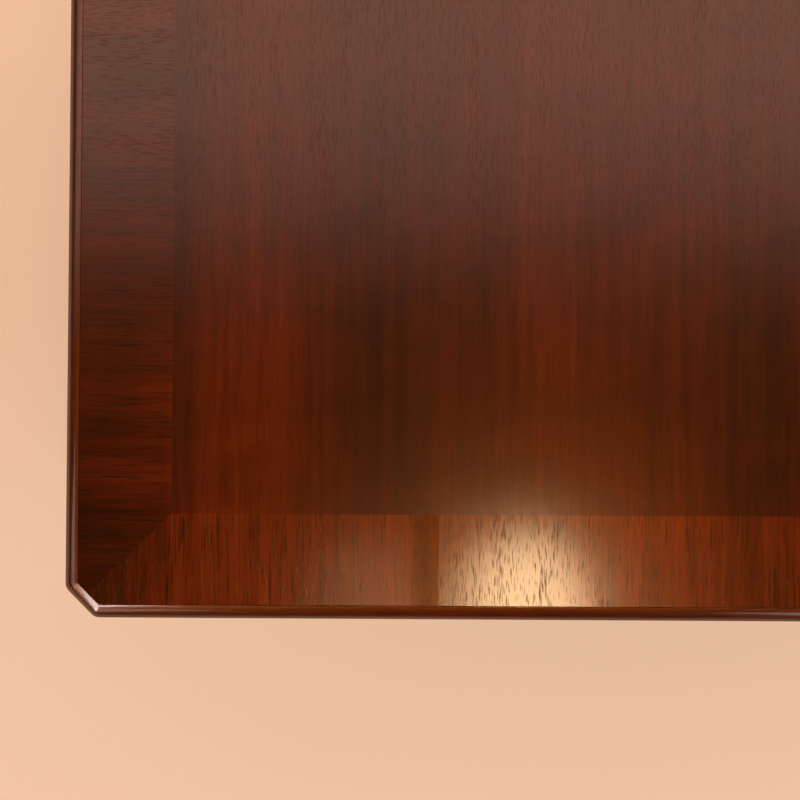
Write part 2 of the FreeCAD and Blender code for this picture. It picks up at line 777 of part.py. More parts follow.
def toe_cap(turn):
    """Brass cap over a toe, with a rounded nose."""
    outline = [(SHOULDER, "glide_height"), ("foot_reach", "glide_height"),
               ("foot_reach", "glide_height + cap_nose_height"), (SHOULDER, "glide_height + toe_height")]
    body = new_body("toe_cap")
    block = pad(body, draw(body, "side_view", "XZ", [outline]), "toe_width", symmetric=True)
    upright = value("cap_nose_height") / 2
    nose = [edge for edge in block.Shape.Edges
            if edge.BoundBox.ZLength > upright and edge.BoundBox.XMin > value(SHOULDER) + upright]
    nosed = round_edges(body, block, nose, "cap_nose_round")
    rims = [edge for edge in nosed.Shape.Edges
            if edge.BoundBox.ZLength < upright and edge.BoundBox.XMax > value(SHOULDER) + upright]
    round_edges(body, nosed, rims, "leg_edge_round")
    cavity = draw(body, "cavity", "XZ", [cap_cavity("0")])
    hollow = body.newObject("PartDesign::Pocket", "hollow")
    hollow.Profile = cavity
    hollow.SideType = "Symmetric"
    bind(hollow, Length="toe_width - 2 * cap_wall")
    doc.recompute()
    return place(body, "-pedestal_offset", turn=turn)


def glide(turn):
    """Flat-footed glide under a toe cap."""
    item = doc.addObject("Part::Cone", "glide")
    bind(item, Radius1="glide_radius - glide_taper", Radius2="glide_radius", Height="glide_height")
    reach = "(foot_reach - cap_length / 2)"
    return place(item, f"-pedestal_offset + {reach} * cos({turn})", f"{reach} * sin({turn})")


def spider_plate():
    """Four-armed plate under the hub and the legs, with its screws and drills."""
    arm = "(hub_flat + leg_pad_length - plate_margin)"
    half = "(plate_arm_width / 2)"
    outline = []
    for quarter in range(4):
        for point in ((arm, f"-{half}"), (arm, half), (half, half)):
            outline.append(quarter_turned(point, quarter))
    body = new_body("plate")
    hole = [("0", "0", "rod_diameter / 2 + rod_clearance")]
    pad(body, draw(body, "plan", "XY", [outline], hole), "plate_thickness")
    place(body, "-pedestal_offset", z=PLATE_UNDERSIDE, turn=45)
    places = []
    for turn in LEG_TURNS:
        for inset in ("screw_head_diameter", "(screw_head_diameter + plate_screw_pitch)"):
            reach = f"({arm} - {inset})"
            places.append((f"-pedestal_offset + {reach} * cos({turn})", f"{reach} * sin({turn})"))
    screws, drills = screws_upward("plate_screws", places, PLATE_UNDERSIDE, "plate_thickness")
    return cut("drilled_plate", body, drills), screws, drills


def tie_rod():
    """Rod through the column from the plate to the block, with a nut at both ends and a washer."""
    foot = f"({PLATE_UNDERSIDE} - nut_height - rod_end)"
    head = f"({WASHER_SEAT} + washer_thickness + nut_height + rod_end / 2)"
    rod = cylinder("rod", "rod_diameter / 2", f"{head} - {foot}", x="-pedestal_offset", z=foot)
    bore = "rod_diameter / 2 + nut_clearance"
    disc = cylinder("disc", "washer_diameter / 2", "washer_thickness", x="-pedestal_offset", z=WASHER_SEAT)
    hole = cylinder("hole", bore, "washer_thickness", x="-pedestal_offset", z=WASHER_SEAT)
    pieces = [rod, cut("washer", disc, hole)]
    for foot_of_nut in (f"{PLATE_UNDERSIDE} - nut_height", f"{WASHER_SEAT} + washer_thickness"):
        prism = doc.addObject("Part::Prism", "prism")
        prism.Polygon = 6
        bind(prism, Circumradius="nut_width / sqrt(3)", Height="nut_height")
        place(prism, "-pedestal_offset", z=foot_of_nut)
        hole = cylinder("hole", bore, "nut_height", x="-pedestal_offset", z=foot_of_nut)
        pieces.append(cut("nut", prism, hole))
    node_pair("tie_rod", group("rod_set", pieces))


def turned_drop():
    """Turned drop under the plate, hollow over the tie rod's nut."""
    top = PLATE_UNDERSIDE
    shelf = f"{top} - drop_height / 4"
    waist = f"{top} - drop_height / 2"
    floor = f"{top} - drop_cavity_depth"
    profile = [
        ("0", f"{top} - drop_height", QUARTER_TURN),
        ("drop_waist", waist, -QUARTER_TURN / 2),
        ("drop_radius", shelf),
        ("drop_radius", top),
        ("drop_cavity_radius", top),
        ("drop_cavity_radius", floor),
        ("0", floor),
    ]
    body = new_body("drop")
    turn_on_lathe(body, draw(body, "profile", "XZ", [profile]))
    node_pair("turned_drop", place(body, "-pedestal_offset"))


def pedestals():
    """Legs, toe caps and glides of both columns, each leg a sub-part of its own; gives the plate's screws."""
    plate, screws, drills = spider_plate()
    node_pair("spider_plate", plate)
    for name, turn in zip(LEG_NAMES, LEG_TURNS):
        node_pair(f"leg_{name}", cut("drilled_leg", leg(turn), drills))
    node_pair("toe_caps", group("cap_set", [toe_cap(turn) for turn in LEG_TURNS]))
    node_pair("glides", group("glide_set", [glide(turn) for turn in LEG_TURNS]))
    return screws


def fitting(name, middle, screw_corners):
    """Plate under the core with a headed stud riveted in its middle, on both sides of the table.

    The stud's neck is as long as the lever that swings on it, or hooks over it, is thick. The screws
    go in the corners of the plate that the lever never sweeps, given as signs towards X and the middle.
    """
    seat = f"({CORE_UNDERSIDE} - fitting_thickness)"
    plate = box("fitting_plate", "fitting_length", "fitting_width", "fitting_thickness",
                x=f"{middle} - fitting_length / 2", y=f"-{LATCH_ROW} - fitting_width / 2", z=seat)
    aside = "(fitting_length / 2 - fitting_screw_inset)"
    inward = "(fitting_width / 2 - fitting_screw_inset)"
    places = [(f"{middle} + {x} * {aside}", f"{side} * ({LATCH_ROW} - {y} * {inward})")
              for x, y in screw_corners for side in (-1, 1)]
    screws, drills = screws_upward(f"{name}_screws", places, seat, "fitting_thickness")
    neck_height = "(latch_thickness + 2 * latch_clearance)"
    neck_foot = f"({seat} - {neck_height})"
    neck = cylinder("neck", "latch_pivot_diameter / 2", neck_height, x=middle, y=f"-{LATCH_ROW}", z=neck_foot)
    head = cylinder("stud_head", "latch_head_diameter / 2", "latch_head_height",
                    x=middle, y=f"-{LATCH_ROW}", z=f"{neck_foot} - latch_head_height")
    riveted = doc.addObject("Part::MultiFuse", "riveted_plate")
    riveted.Shapes = [plate, neck, head]
    plates = cut(f"{name}_plates", group("fitting_pair", both_sides(riveted)), drills)
    return plates, screws, drills


def latch_lever():
    """Swinging hook, drawn along X from its pivot, with the mouth of its notch towards minus Y."""
    half = "latch_width / 2"
    notch = "(latch_pivot_diameter / 2 + hook_clearance)"
    tip = f"latch_reach + {notch} + latch_hook_wall"
    back = f"({notch} + latch_hook_wall)"
    outline = [
        ("-latch_tail", f"-({half})"),
        (f"latch_reach - {notch}", f"-({half})"),
        (f"latch_reach - {notch}", "0", -HALF_TURN),
        (f"latch_reach + {notch}", "0"),
        (f"latch_reach + {notch}", f"-({half})"),
        (tip, f"-({half})"),
        (tip, "0", QUARTER_TURN),
        ("latch_reach", back),
        (f"latch_reach - {back}", half),
        ("-latch_tail", half, HALF_TURN),
    ]
    body = new_body("latch_lever")
    eye = [("0", "0", "latch_pivot_diameter / 2 + latch_clearance")]
    pad(body, draw(body, "plan", "XY", [outline], eye), "latch_thickness")
    top = f"{CORE_UNDERSIDE} - fitting_thickness - latch_clearance"
    return place(body, "-latch_setback", f"-{LATCH_ROW}", f"{top} - latch_thickness", 90)


def whole_table():
    """All sub-parts, with every hole drilled for the screws that pass through it."""
    core = core_panel()
    left_rails, left_packers, left_screws, left_drills = hung_rails("left", OUTER_RAIL, 1)
    inner_rails, inner_packers, inner_screws, inner_drills = hung_rails("right", INNER_RAIL, -1)
    block, block_screws, block_drills = mounting_block()
    latches, latch_screws, latch_drills = fitting("latch", "-latch_setback", [(-1, 1), (1, -1)])
    keeper_middle = "(latch_reach - latch_setback)"
    keepers, keeper_screws, keeper_drills = fitting("keeper", keeper_middle, [(-1, -1), (1, -1)])

    left_holes = group("left_holes", [left_drills, block_drills, latch_drills])
    node("left_top_core", cut("left_core", core, left_holes))
    right_holes = [mirror(inner_drills, ALONG_X), mirror(block_drills, ALONG_X), keeper_drills]
    node("right_top_core", cut("right_core", mirror(core, ALONG_X), group("right_holes", right_holes)))
    alignment_pins()
    veneers()
    edge_mouldings()
    aprons()

    node("left_slide_rails", left_rails)
    node("left_slide_packers", left_packers)
    node("right_slide_rails", mirror(inner_rails, ALONG_X))
    node("right_slide_packers", mirror(inner_packers, ALONG_X))
    middle_rails()

    node_pair("mounting_block", block)
    column()
    tie_rod()
    turned_drop()
    plate_screws = pedestals()

    node("left_screws", group("left_screw_set", [left_screws, block_screws, plate_screws, latch_screws]))
    mirrored = mirror(group("right_screw_set", [inner_screws, block_screws, plate_screws]), ALONG_X)
    node("right_screws", group("right_screw_sets", [mirrored, keeper_screws]))
    node("latch_plates", latches)
    node("keeper_plates", keepers)
    lever = node("front_latch_lever", latch_lever())
    node("back_latch_lever", mirror(lever, ACROSS_Y))


def write_parts():
    """Write each sub-part to its own file, after a look at every object's state and shape."""
    for item in doc.Objects:
        if "Invalid" in item.State or "Error" in item.State:
            raise ValueError(f"{item.Label} did not build")
    os.makedirs("parts", exist_ok=True)
    for label, item in nodes.items():
        if item.Shape.isNull() or not item.Shape.isValid():
            raise ValueError(f"{label} has no valid shape")
        item.Shape.exportStep(f"parts/{label}.step")
    print(f"{len(nodes)} sub-parts written")


whole_table()
doc.recompute()
write_parts()
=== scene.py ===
# %% [markdown]
# # Dressing a double pedestal dining table
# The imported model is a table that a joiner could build: every board, turning, rail and screw has its place.
# It could be shown as it is, but a drawing has no grain and no eased edges. This lesson loads it as a fixed
# frame, makes the turned, moulded and carved pieces again as smooth surfaces, and polishes the wood.

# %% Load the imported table
import math

import bpy
import numpy as np
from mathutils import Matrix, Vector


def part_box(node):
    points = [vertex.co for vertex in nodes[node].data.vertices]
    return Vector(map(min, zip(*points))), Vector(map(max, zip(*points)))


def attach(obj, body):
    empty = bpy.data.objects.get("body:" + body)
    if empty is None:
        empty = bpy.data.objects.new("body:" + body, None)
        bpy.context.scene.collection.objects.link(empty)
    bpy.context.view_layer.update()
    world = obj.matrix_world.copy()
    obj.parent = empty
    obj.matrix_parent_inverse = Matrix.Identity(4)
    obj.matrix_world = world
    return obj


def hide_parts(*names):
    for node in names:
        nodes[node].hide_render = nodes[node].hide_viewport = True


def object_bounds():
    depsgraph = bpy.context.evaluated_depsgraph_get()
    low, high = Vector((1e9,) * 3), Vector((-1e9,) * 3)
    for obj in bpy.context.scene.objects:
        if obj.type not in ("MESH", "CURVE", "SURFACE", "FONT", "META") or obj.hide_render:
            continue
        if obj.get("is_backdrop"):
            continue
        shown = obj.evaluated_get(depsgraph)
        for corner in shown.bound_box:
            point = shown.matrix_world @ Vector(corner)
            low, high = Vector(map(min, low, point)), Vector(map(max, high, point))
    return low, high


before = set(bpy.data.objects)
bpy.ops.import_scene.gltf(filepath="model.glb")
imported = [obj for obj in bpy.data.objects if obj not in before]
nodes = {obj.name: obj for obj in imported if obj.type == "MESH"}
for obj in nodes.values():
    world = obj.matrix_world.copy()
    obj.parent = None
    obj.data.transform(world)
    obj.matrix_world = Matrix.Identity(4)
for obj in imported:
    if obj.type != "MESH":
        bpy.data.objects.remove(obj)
cad_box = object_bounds()
scene = bpy.context.scene

# %% [markdown]
# ## Outlines
# A turner works to a template, and a moulding plane has its profile ground into the iron. Both are outlines:
# a few corners with straight runs and arcs between them. They could be bevelled by a modifier, but a blur
# along the outline eases every arris at once, as sandpaper does, and tells where polish is rubbed off and
# where the hollows lie, which are coloured darker. The outline is then thinned, so that points stay close
# only where the line turns.

# %% Outlines from corners and arcs
MM = 0.001
POINT_STEP = 0.3
ARC_STRETCH = 1.6


def arc_run(start, end, turn):
    """Points from start towards end, in mm: a line, or an arc that turns left by some degrees.

    The centre stands left of the chord's middle by half the chord over the tangent of half the turn, and
    each point is the start swung about that centre by its share of the turn. The count is the chord, times a
    stretch that allows for the bow of an arc, over the step between points.
    """
    start, end = np.array(start, float), np.array(end, float)
    chord = end - start
    count = int(np.ceil(ARC_STRETCH * np.hypot(*chord) / POINT_STEP)) + 1
    share = np.linspace(0, 1, count, endpoint=False)[:, None]
    if turn == 0:
        return start + share * chord
    swing = math.radians(turn)
    centre = (start + end) / 2 + np.array([-chord[1], chord[0]]) / (2 * math.tan(swing / 2))
    spoke = start - centre
    square = np.array([-spoke[1], spoke[0]])
    return centre + np.cos(share * swing) * spoke + np.sin(share * swing) * square


def outline(corners):
    """Closed outline in metres, anticlockwise, through corners in mm.

    A corner is (across, up), or (across, up, turn) where an arc of so many degrees leads to the next one.
    """
    runs = []
    for corner, following in zip(corners, corners[1:] + corners[:1]):
        turn = corner[2] if len(corner) > 2 else 0
        runs.append(arc_run(corner[:2], following[:2], turn))
    return np.concatenate(runs) * MM


def length_run(line):
    """Length run from the first point of a line to each of its points."""
    return np.concatenate([[0], np.cumsum(np.hypot(*np.diff(line, axis=0).T))])


SECTION = outline([(0, 0), (20, 0), (20, 60), (0, 60)])
print("a section of 20 x 60 mm starts with", len(SECTION), "points")

# %% Eased arrises and wear
BLUR_STEP = 0.2 * MM
WIDE_BLUR = 4 * MM
FULL_WEAR = 1.2 * MM


def eased(points, ease=0.8, longest=8.0, sharpest=9.0):
    """Outline with eased corners, and its wear: 1 where it is rubbed, -1 in its hollows.

    The closed line is taken as complex numbers and blurred by a bell curve in the frequency domain. Wear is
    how far it stands outside a wider blur of itself. Points are kept at even steps of a pace that counts both
    the length run, against the longest step in mm, and the angle turned, against the sharpest in degrees.
    """
    closed = np.vstack([points, points[:1]])
    along = length_run(closed)
    count = int(along[-1] / BLUR_STEP)
    even = np.linspace(0, along[-1], count, endpoint=False)
    waves = np.fft.fft(np.interp(even, along, closed[:, 0]) + 1j * np.interp(even, along, closed[:, 1]))
    pitch = np.pi * np.fft.fftfreq(count, d=along[-1] / count)
    smooth = np.fft.ifft(waves * np.exp(-2 * (pitch * ease * MM) ** 2))
    wide = np.fft.ifft(waves * np.exp(-2 * (pitch * WIDE_BLUR) ** 2))
    heading = np.roll(smooth, -1) - np.roll(smooth, 1)
    heading /= np.abs(heading)
    wear = np.clip(((smooth - wide) * np.conj(-1j * heading)).real / FULL_WEAR, -1, 1)
    turning = np.abs(np.angle(np.roll(heading, -1) / heading))
    pace = np.cumsum(along[-1] / count / (longest * MM) + turning / math.radians(sharpest))
    keep = np.searchsorted(pace, np.linspace(0, pace[-1], int(pace[-1]) + 3, endpoint=False))
    return np.stack([smooth.real, smooth.imag], -1)[keep], wear[keep]


print("eased and thinned, it keeps", len(eased(SECTION)[0]))

# %% [markdown]
# ## Skins
# Every new piece is a grid of points: rings, and steps from ring to ring. Four neighbours make a face, and
# lids close the first and last ring. The mesh could be extruded in edit mode, but whole arrays are quicker to
# change. Each point also carries its place in the timber, along the grain, across it and through it, so that
# the figure follows a bent or mitred piece.

# %% Skins from grids of points
def skin(points, grain, wear):
    """Closed skin over a grid of rings: quads between rings, and a lid on the first and the last ring.

    It is turned outwards by the sign of its volume, a sixth of the sum of each triangle's triple product.
    """
    rows, columns, _ = points.shape
    index = np.arange(rows * columns).reshape(rows, columns)
    wrapped = np.hstack([index, index[:, :1]])
    corners = [wrapped[:-1, :-1], wrapped[1:, :-1], wrapped[1:, 1:], wrapped[:-1, 1:]]
    quads = np.stack(corners, -1).reshape(-1, 4)
    lids = np.stack([index[0], index[-1][::-1]])
    flat = points.reshape(-1, 3)
    fans = [np.stack([np.full(columns - 2, lid[0]), lid[1:-1], lid[2:]], -1) for lid in lids]
    triangles = flat[np.concatenate([quads[:, :3], quads[:, [0, 2, 3]], *fans])]
    volume = np.einsum("ij,ij->i", triangles[:, 0], np.cross(triangles[:, 1], triangles[:, 2])).sum()
    if volume < 0:
        quads, lids = quads[:, ::-1], lids[:, ::-1]
    shape = (rows, columns)
    return {"points": flat, "quads": quads, "lids": [lids],
            "grain": np.broadcast_to(grain, shape + (3,)).reshape(-1, 3),
            "wear": np.broadcast_to(wear, shape).reshape(-1)}


def joined(skins):
    """Several skins as one, each one's face numbers moved on by the points before it."""
    starts = np.cumsum([0] + [len(one["points"]) for one in skins])
    together = {key: np.concatenate([one[key] for one in skins]) for key in ("points", "grain", "wear")}
    together["quads"] = np.concatenate([one["quads"] + start for one, start in zip(skins, starts)])
    together["lids"] = [lids + start for one, start in zip(skins, starts) for lids in one["lids"]]
    return together


def mirrored(one, axis):
    """Mirror image of a skin in the plane through the origin square to an axis, its faces turned round."""
    flip = np.ones(3)
    flip[axis] = -1
    return {**one, "points": one["points"] * flip, "quads": one["quads"][:, ::-1],
            "lids": [lids[:, ::-1] for lids in one["lids"]]}


print("a skin of 3 rings of 8 points has", len(skin(np.ones((3, 8, 3)), 0, 0)["quads"]), "quads")

# %% Pieces from skins
SHARP_ANGLE = math.radians(38)
# a half's name, and the axis along which the left half's skins are mirrored to make it
HALVES = (("left", None), ("right", 0))


def add_piece(name, one, body, slot, material, *replaced):
    """Object from a skin, which rides on a body, stands for CAD nodes and has its material."""
    mesh = bpy.data.meshes.new(name)
    faces = one["quads"].tolist() + [lid for lids in one["lids"] for lid in lids.tolist()]
    mesh.from_pydata(one["points"].tolist(), [], faces)
    grain = mesh.attributes.new("grain", "FLOAT_VECTOR", "POINT")
    grain.data.foreach_set("vector", one["grain"].astype("f").ravel())
    wear = mesh.attributes.new("wear", "FLOAT", "POINT")
    wear.data.foreach_set("value", one["wear"].astype("f"))
    mesh.shade_smooth()
    mesh.set_sharp_from_angle(angle=SHARP_ANGLE)
    mesh.materials.append(material)
    piece = bpy.data.objects.new(name, mesh)
    scene.collection.objects.link(piece)
    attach(piece, body)
    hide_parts(*replaced)


def add_halves(name, skins, slot, material):
    """The left half's piece, and its mirror image on the right half."""
    for half, axis in HALVES:
        one = joined(skins) if axis is None else mirrored(joined(skins), axis)
        add_piece(f"{half}_{name}_dressed", one, f"{half}_half", slot, material, f"{half}_{name}")


print("each shape is made for", len(HALVES), "halves of the table")

# %% [markdown]
# ## Node helpers
# A shader could be wired by hand in the editor. In a script, one short call per node keeps the wiring
# readable: its options, then its inputs, each a plain number or the socket that feeds it.

# %% Short calls for shader nodes
# the node tree that is being wired
wired = {}


def start_wiring(owner):
    """Empty the node tree of a material or a world, to which the calls below then add."""
    owner.use_nodes = True
    owner.node_tree.nodes.clear()
    wired["tree"] = owner.node_tree


def new_material(name):
    """Empty material, ready to be wired."""
    material = bpy.data.materials.new(name)
    start_wiring(material)
    return material


def put(kind, inputs=None, **options):
    """New shader node of a kind, its options set and its inputs set or linked."""
    made = wired["tree"].nodes.new(f"ShaderNode{kind}")
    for key, option in options.items():
        setattr(made, key, option)
    for key, given in (inputs or {}).items():
        if isinstance(given, bpy.types.NodeSocket):
            wired["tree"].links.new(given, made.inputs[key])
        else:
            made.inputs[key].default_value = given
    return made


def calc(operation, first, second=0.0, third=0.0):
    """One sum on numbers or sockets."""
    return put("Math", {0: first, 1: second, 2: third}, operation=operation).outputs[0]


def scaled(source, weight, base=0.0):
    """A number times a weight, plus a base."""
    return calc("MULTIPLY_ADD", source, weight, base)


def remap(source, low, high, to_low=0.0, to_high=1.0):
    """Smooth step from one range to another."""
    inputs = {0: source, 1: low, 2: high, 3: to_low, 4: to_high}
    return put("MapRange", inputs, interpolation_type="SMOOTHSTEP").outputs[0]


def object_point():
    """Object coordinates."""
    return put("TexCoord").outputs["Object"]


def parts_of(vector):
    """The three numbers of a vector."""
    return put("SeparateXYZ", {0: vector}).outputs


def drawn_out(vector, cells):
    """Coordinates with so many cells per metre along, across and through the wood."""
    return put("VectorMath", {0: vector, 1: cells}, operation="MULTIPLY").outputs[0]


def noise(vector, cells, detail=2.0, rough=0.5, twist=0.0):
    """Noise with so many cells per metre along, across and through the wood."""
    inputs = {"Vector": drawn_out(vector, cells), "Scale": 1.0, "Detail": detail, "Roughness": rough,
              "Distortion": twist}
    return put("TexNoise", inputs).outputs[0]


print("calls for nodes:", [each.__name__ for each in (put, calc, remap, noise)])

# %% Short calls for colours and surfaces
def paint(red, green, blue):
    """Colour as a paint chart gives it, from 0 to 255, in the linear numbers that shaders use.

    A dark share of 255 is divided by 12.92, and any other is moved and raised to the power of 2.4.
    """
    chart = np.array([red, green, blue]) / 255
    linear = np.where(chart <= 0.04045, chart / 12.92, ((chart + 0.055) / 1.055) ** 2.4)
    return (*linear.tolist(), 1.0)


def blend(share, first, second):
    """Mix of two colours."""
    return put("Mix", {0: share, 6: first, 7: second}, data_type="RGBA").outputs[2]


def ramp(source, tones):
    """Colour ramp through evenly spaced tones of a paint chart."""
    made = put("ValToRGB", {0: source})
    stops = made.color_ramp.elements
    while len(stops) < len(tones):
        stops.new(0.5)
    for number, (stop, tone) in enumerate(zip(stops, tones)):
        stop.position = number / (len(tones) - 1)
        stop.color = paint(*tone)
    return made.outputs[0]


def bump(height, strength=1.0, distance=1.0):
    """Normal tilted by a height that is counted in so many metres."""
    inputs = {"Strength": strength, "Distance": distance, "Height": height}
    return put("Bump", inputs).outputs[0]


def shade(colour, roughness, normal, **constants):
    """Principled surface, its constants set on its own sockets, and the material's output."""
    inputs = {"Base Color": colour, "Roughness": roughness, "Normal": normal}
    inputs.update({key.replace("_", " "): given for key, given in constants.items()})
    surface = put("BsdfPrincipled", inputs)
    put("OutputMaterial", {"Surface": surface.outputs[0]})


print("a mid brown in linear numbers:", [round(part, 4) for part in paint(80, 28, 5)])

# %% [markdown]
# ## Polished mahogany
# Mahogany shows itself at several scales: soft bands of light and dark a hand wide, streaks, dark dashes,
# fine fibres, and open pores, short dark lines that dent the polish. A photograph of a board could give all
# that, but for one board only. Here each scale is its own noise, drawn out along the grain. The polish is a
# clear coat over a warm gleam from the fibres below it.

# %% Grain, figure and pores
PORE_CELLS = (60, 1100, 1100)
PORE_EDGE, PORE_MIDDLE, PORE_CROWDING = 0.12, 0.02, 0.45


def object_grain(along):
    """Object coordinates turned so that the grain's axis becomes X."""
    turn = {"X": (0, 0, 0), "Z": (0, math.pi / 2, 0)}[along]
    return put("Mapping", {"Vector": object_point(), "Rotation": turn}).outputs[0]


def carried_grain():
    """Place in the timber that a new piece's points carry."""
    return put("Attribute", attribute_name="grain").outputs["Vector"]


def carried_wear():
    """Wear that a new piece's points carry."""
    return put("Attribute", attribute_name="wear").outputs["Fac"]


def board_figure(grain):
    """Soft bands of light and dark, as in a plain board."""
    return noise(grain, (1.1, 11, 11), twist=0.4)


def open_pores(grain, strength):
    """Pores: 0 beside them, and a strength in their middle.

    A pore is what lies near one of many scattered points, in coordinates drawn out along the grain. A slow
    noise is taken off the distance, so that pores crowd where it is high.
    """
    crowd = noise(grain, (5, 45, 45))
    scattered = {"Vector": drawn_out(grain, PORE_CELLS), "Scale": 1.0}
    apart = put("TexVoronoi", scattered).outputs["Distance"]
    apart = scaled(crowd, -PORE_CROWDING, apart)
    return remap(apart, PORE_EDGE, PORE_MIDDLE, 0, strength)


print("scattered points in a square centimetre:", PORE_CELLS[0] * PORE_CELLS[1] / 100 ** 2)

# %% Polished mahogany
PORE_BROWN, RUBBED_BROWN, HOLLOW_BROWN = paint(24, 6, 1), paint(124, 54, 17), paint(20, 6, 2)
FIBRE_GLEAM = (1.0, 0.33, 0.05, 1.0)
VENEER_RISE, FIBRE_HEIGHT, PORE_DEPTH = 0.2 * MM, 0.012 * MM, 0.012 * MM


def mahogany(grain, tones, figure=None, streaks=0.5, dashes=0.2, pores=0.7, lustre=0.5, sunk=0.0,
             haze=0.125, worn=False):
    """Polished wood: a tone picks the colour, and pores darken it and break the polish.

    The tone starts at a half. Four noises sway it, each by its distance from a half times its weight, and the
    dashes lower it. The height of the polish is in metres: a slow rise and fall, as veneer never dries quite
    flat, fine fibres, and the pores. Haze is how far the coat blurs what it mirrors.
    """
    if figure is None:
        figure = board_figure(grain)
    streak = noise(grain, (2.6, 85, 85), detail=4, rough=0.65, twist=0.2)
    mottle = noise(grain, (16, 7, 7), twist=0.6)
    fibre = noise(grain, (20, 640, 640), rough=0.6)
    tone = 0.5
    for sway, weight in ((figure, 1.5), (streak, 2.4 * streaks), (mottle, 0.6), (fibre, 0.6)):
        tone = scaled(calc("SUBTRACT", sway, 0.5), weight, tone)
    dash = remap(noise(grain, (18, 520, 520), twist=0.1), 0.57, 0.65)
    tone = scaled(dash, -dashes, tone)
    pore = open_pores(grain, pores)
    colour = blend(scaled(pore, 0.65), ramp(tone, tones), PORE_BROWN)
    if worn:
        wear = carried_wear()
        colour = blend(remap(wear, 0.2, 1.0, 0, 0.3), colour, RUBBED_BROWN)
        # the colour is blended towards a darker brown in the hollows of the outline
        colour = blend(remap(wear, -0.1, -0.8, 0, 0.7), colour, HOLLOW_BROWN)

    rise = noise(object_point(), (9, 9, 9), detail=1, rough=0.4)
    height = scaled(fibre, FIBRE_HEIGHT, scaled(rise, VENEER_RISE))
    normal = bump(scaled(pore, -PORE_DEPTH, height))
    roughness = scaled(pore, 0.3, scaled(streak, 0.12, 0.27))
    whole = scaled(pore, -0.9, 1.0)
    coat = scaled(whole, calc("SUBTRACT", 1.0, sunk))
    shade(colour, roughness, normal, Specular_IOR_Level=lustre, Specular_Tint=FIBRE_GLEAM,
          Coat_Weight=coat, Coat_Roughness=haze, Coat_Normal=normal)


FIELD_TONES = [(30, 4, 0), (47, 9, 0), (62, 13, 0), (76, 18, 1), (91, 26, 3)]
END_TONES = [(22, 3, 0), (43, 6, 0), (57, 9, 0), (68, 13, 0), (84, 21, 1)]
SIDE_TONES = [(40, 6, 0), (66, 13, 0), (86, 20, 1), (101, 28, 2), (122, 42, 6)]
EDGE_TONES = [(37, 7, 0), (48, 11, 0), (60, 15, 1), (73, 20, 2), (90, 29, 4)]
BASE_TONES = [(44, 11, 1), (58, 17, 2), (74, 23, 3), (88, 30, 5), (106, 40, 9)]
print(len(FIELD_TONES), "tones from dark to light in each cut of mahogany")

# %% [markdown]
# ## The veneered top
# The field is laid in leaves cut one after another from one log, side by side with the grain across the
# table, so each leaf repeats the figure of the last with small changes. Round it run crossbands whose grain
# is square to the edge. They could be modelled again, but all are flat, so the CAD solids stay and only get
# their polish. The leaf that a point is on comes from its X, and the pattern starts again in each leaf.

# %% Veneer laid in leaves
field_low, field_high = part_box("left_field_veneer")
LEAVES = 3
LAST_LEAF = 2 * LEAVES - 1.0
LOG_STEP = 0.021
leaf_width = (field_high.x - field_low.x) / LEAVES


def leaf_grain():
    """Grain across the table that starts again in each leaf, the leaf's number, the share of it, and the X.

    Each next leaf was cut a step deeper in the log.
    """
    parts = parts_of(object_point())
    place = calc("DIVIDE", calc("SUBTRACT", parts[0], field_low.x), leaf_width)
    leaf = calc("MINIMUM", calc("MAXIMUM", calc("FLOOR", place), 0.0), LAST_LEAF)
    share = calc("SUBTRACT", place, leaf)
    across = scaled(share, leaf_width)
    depth = scaled(leaf, LOG_STEP)
    grain = put("CombineXYZ", {0: parts[1], 1: across, 2: depth}).outputs[0]
    return grain, leaf, share, parts[0]


def dress(material, *names):
    """Give CAD nodes a material in place of the one that they came with."""
    for name in names:
        for holder in nodes[name].material_slots:
            holder.material = material


print(f"leaves are {leaf_width * 1000:.1f} mm wide")

# %% Field
LEAF_LAG, SWELL_BEND, SWELL_START = 0.2, 4.0, 2.3
STRONG_SWELL, WEAK_SWELL, CALM_MIDDLE = 0.24, 0.07, 0.35
RIM_WIDTH, RIM_SHADE = 0.05, 0.14


def field_figure(grain, leaf, share, along):
    """One slow swell of light and dark across each leaf, bent by noise and later leaf by leaf.

    The lag is a fifth of a turn. Every other leaf swells less, and all of them less along the middle of the
    table. The field darkens by the end bands, and lightens towards the side bands and the seam.
    """
    bent = noise(grain, (1.6, 9, 30), detail=3, rough=0.55, twist=0.5)
    turn = scaled(leaf, -LEAF_LAG, share)
    swing = scaled(turn, 2 * math.pi, scaled(bent, SWELL_BEND))
    swell = calc("SINE", calc("ADD", swing, -SWELL_START))
    odd_leaf = calc("FLOORED_MODULO", leaf, 2.0)
    strength = scaled(odd_leaf, WEAK_SWELL - STRONG_SWELL, STRONG_SWELL)
    aside = calc("ABSOLUTE", parts_of(grain)[0])
    out = calc("ABSOLUTE", along)
    strength = scaled(strength, remap(aside, 0.1, 0.3, CALM_MIDDLE, 1.0))
    figure = scaled(swell, strength, scaled(bent, 0.3, 0.325))
    rim = remap(out, -field_low.x - RIM_WIDTH, -field_low.x, 0, RIM_SHADE)
    by_sides = remap(aside, 0.36, 0.46, 0, 0.05)
    by_seam = remap(out, 0.36, 0.22, 0, 0.06)
    return calc("ADD", calc("SUBTRACT", figure, rim), calc("ADD", by_sides, by_seam))


field_polish = new_material("field_mahogany")
grain, leaf, share, along = leaf_grain()
figure = field_figure(grain, leaf, share, along)
mahogany(grain, FIELD_TONES, figure, streaks=0.35, pores=0.5, haze=0.15)
dress(field_polish, "left_field_veneer", "right_field_veneer")
print("field of", 2 * LEAVES, "leaves polished")

# %% End bands
end_low, end_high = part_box("left_end_band")
JOINT_OUTER, JOINT_INNER = 0.007, 0.003


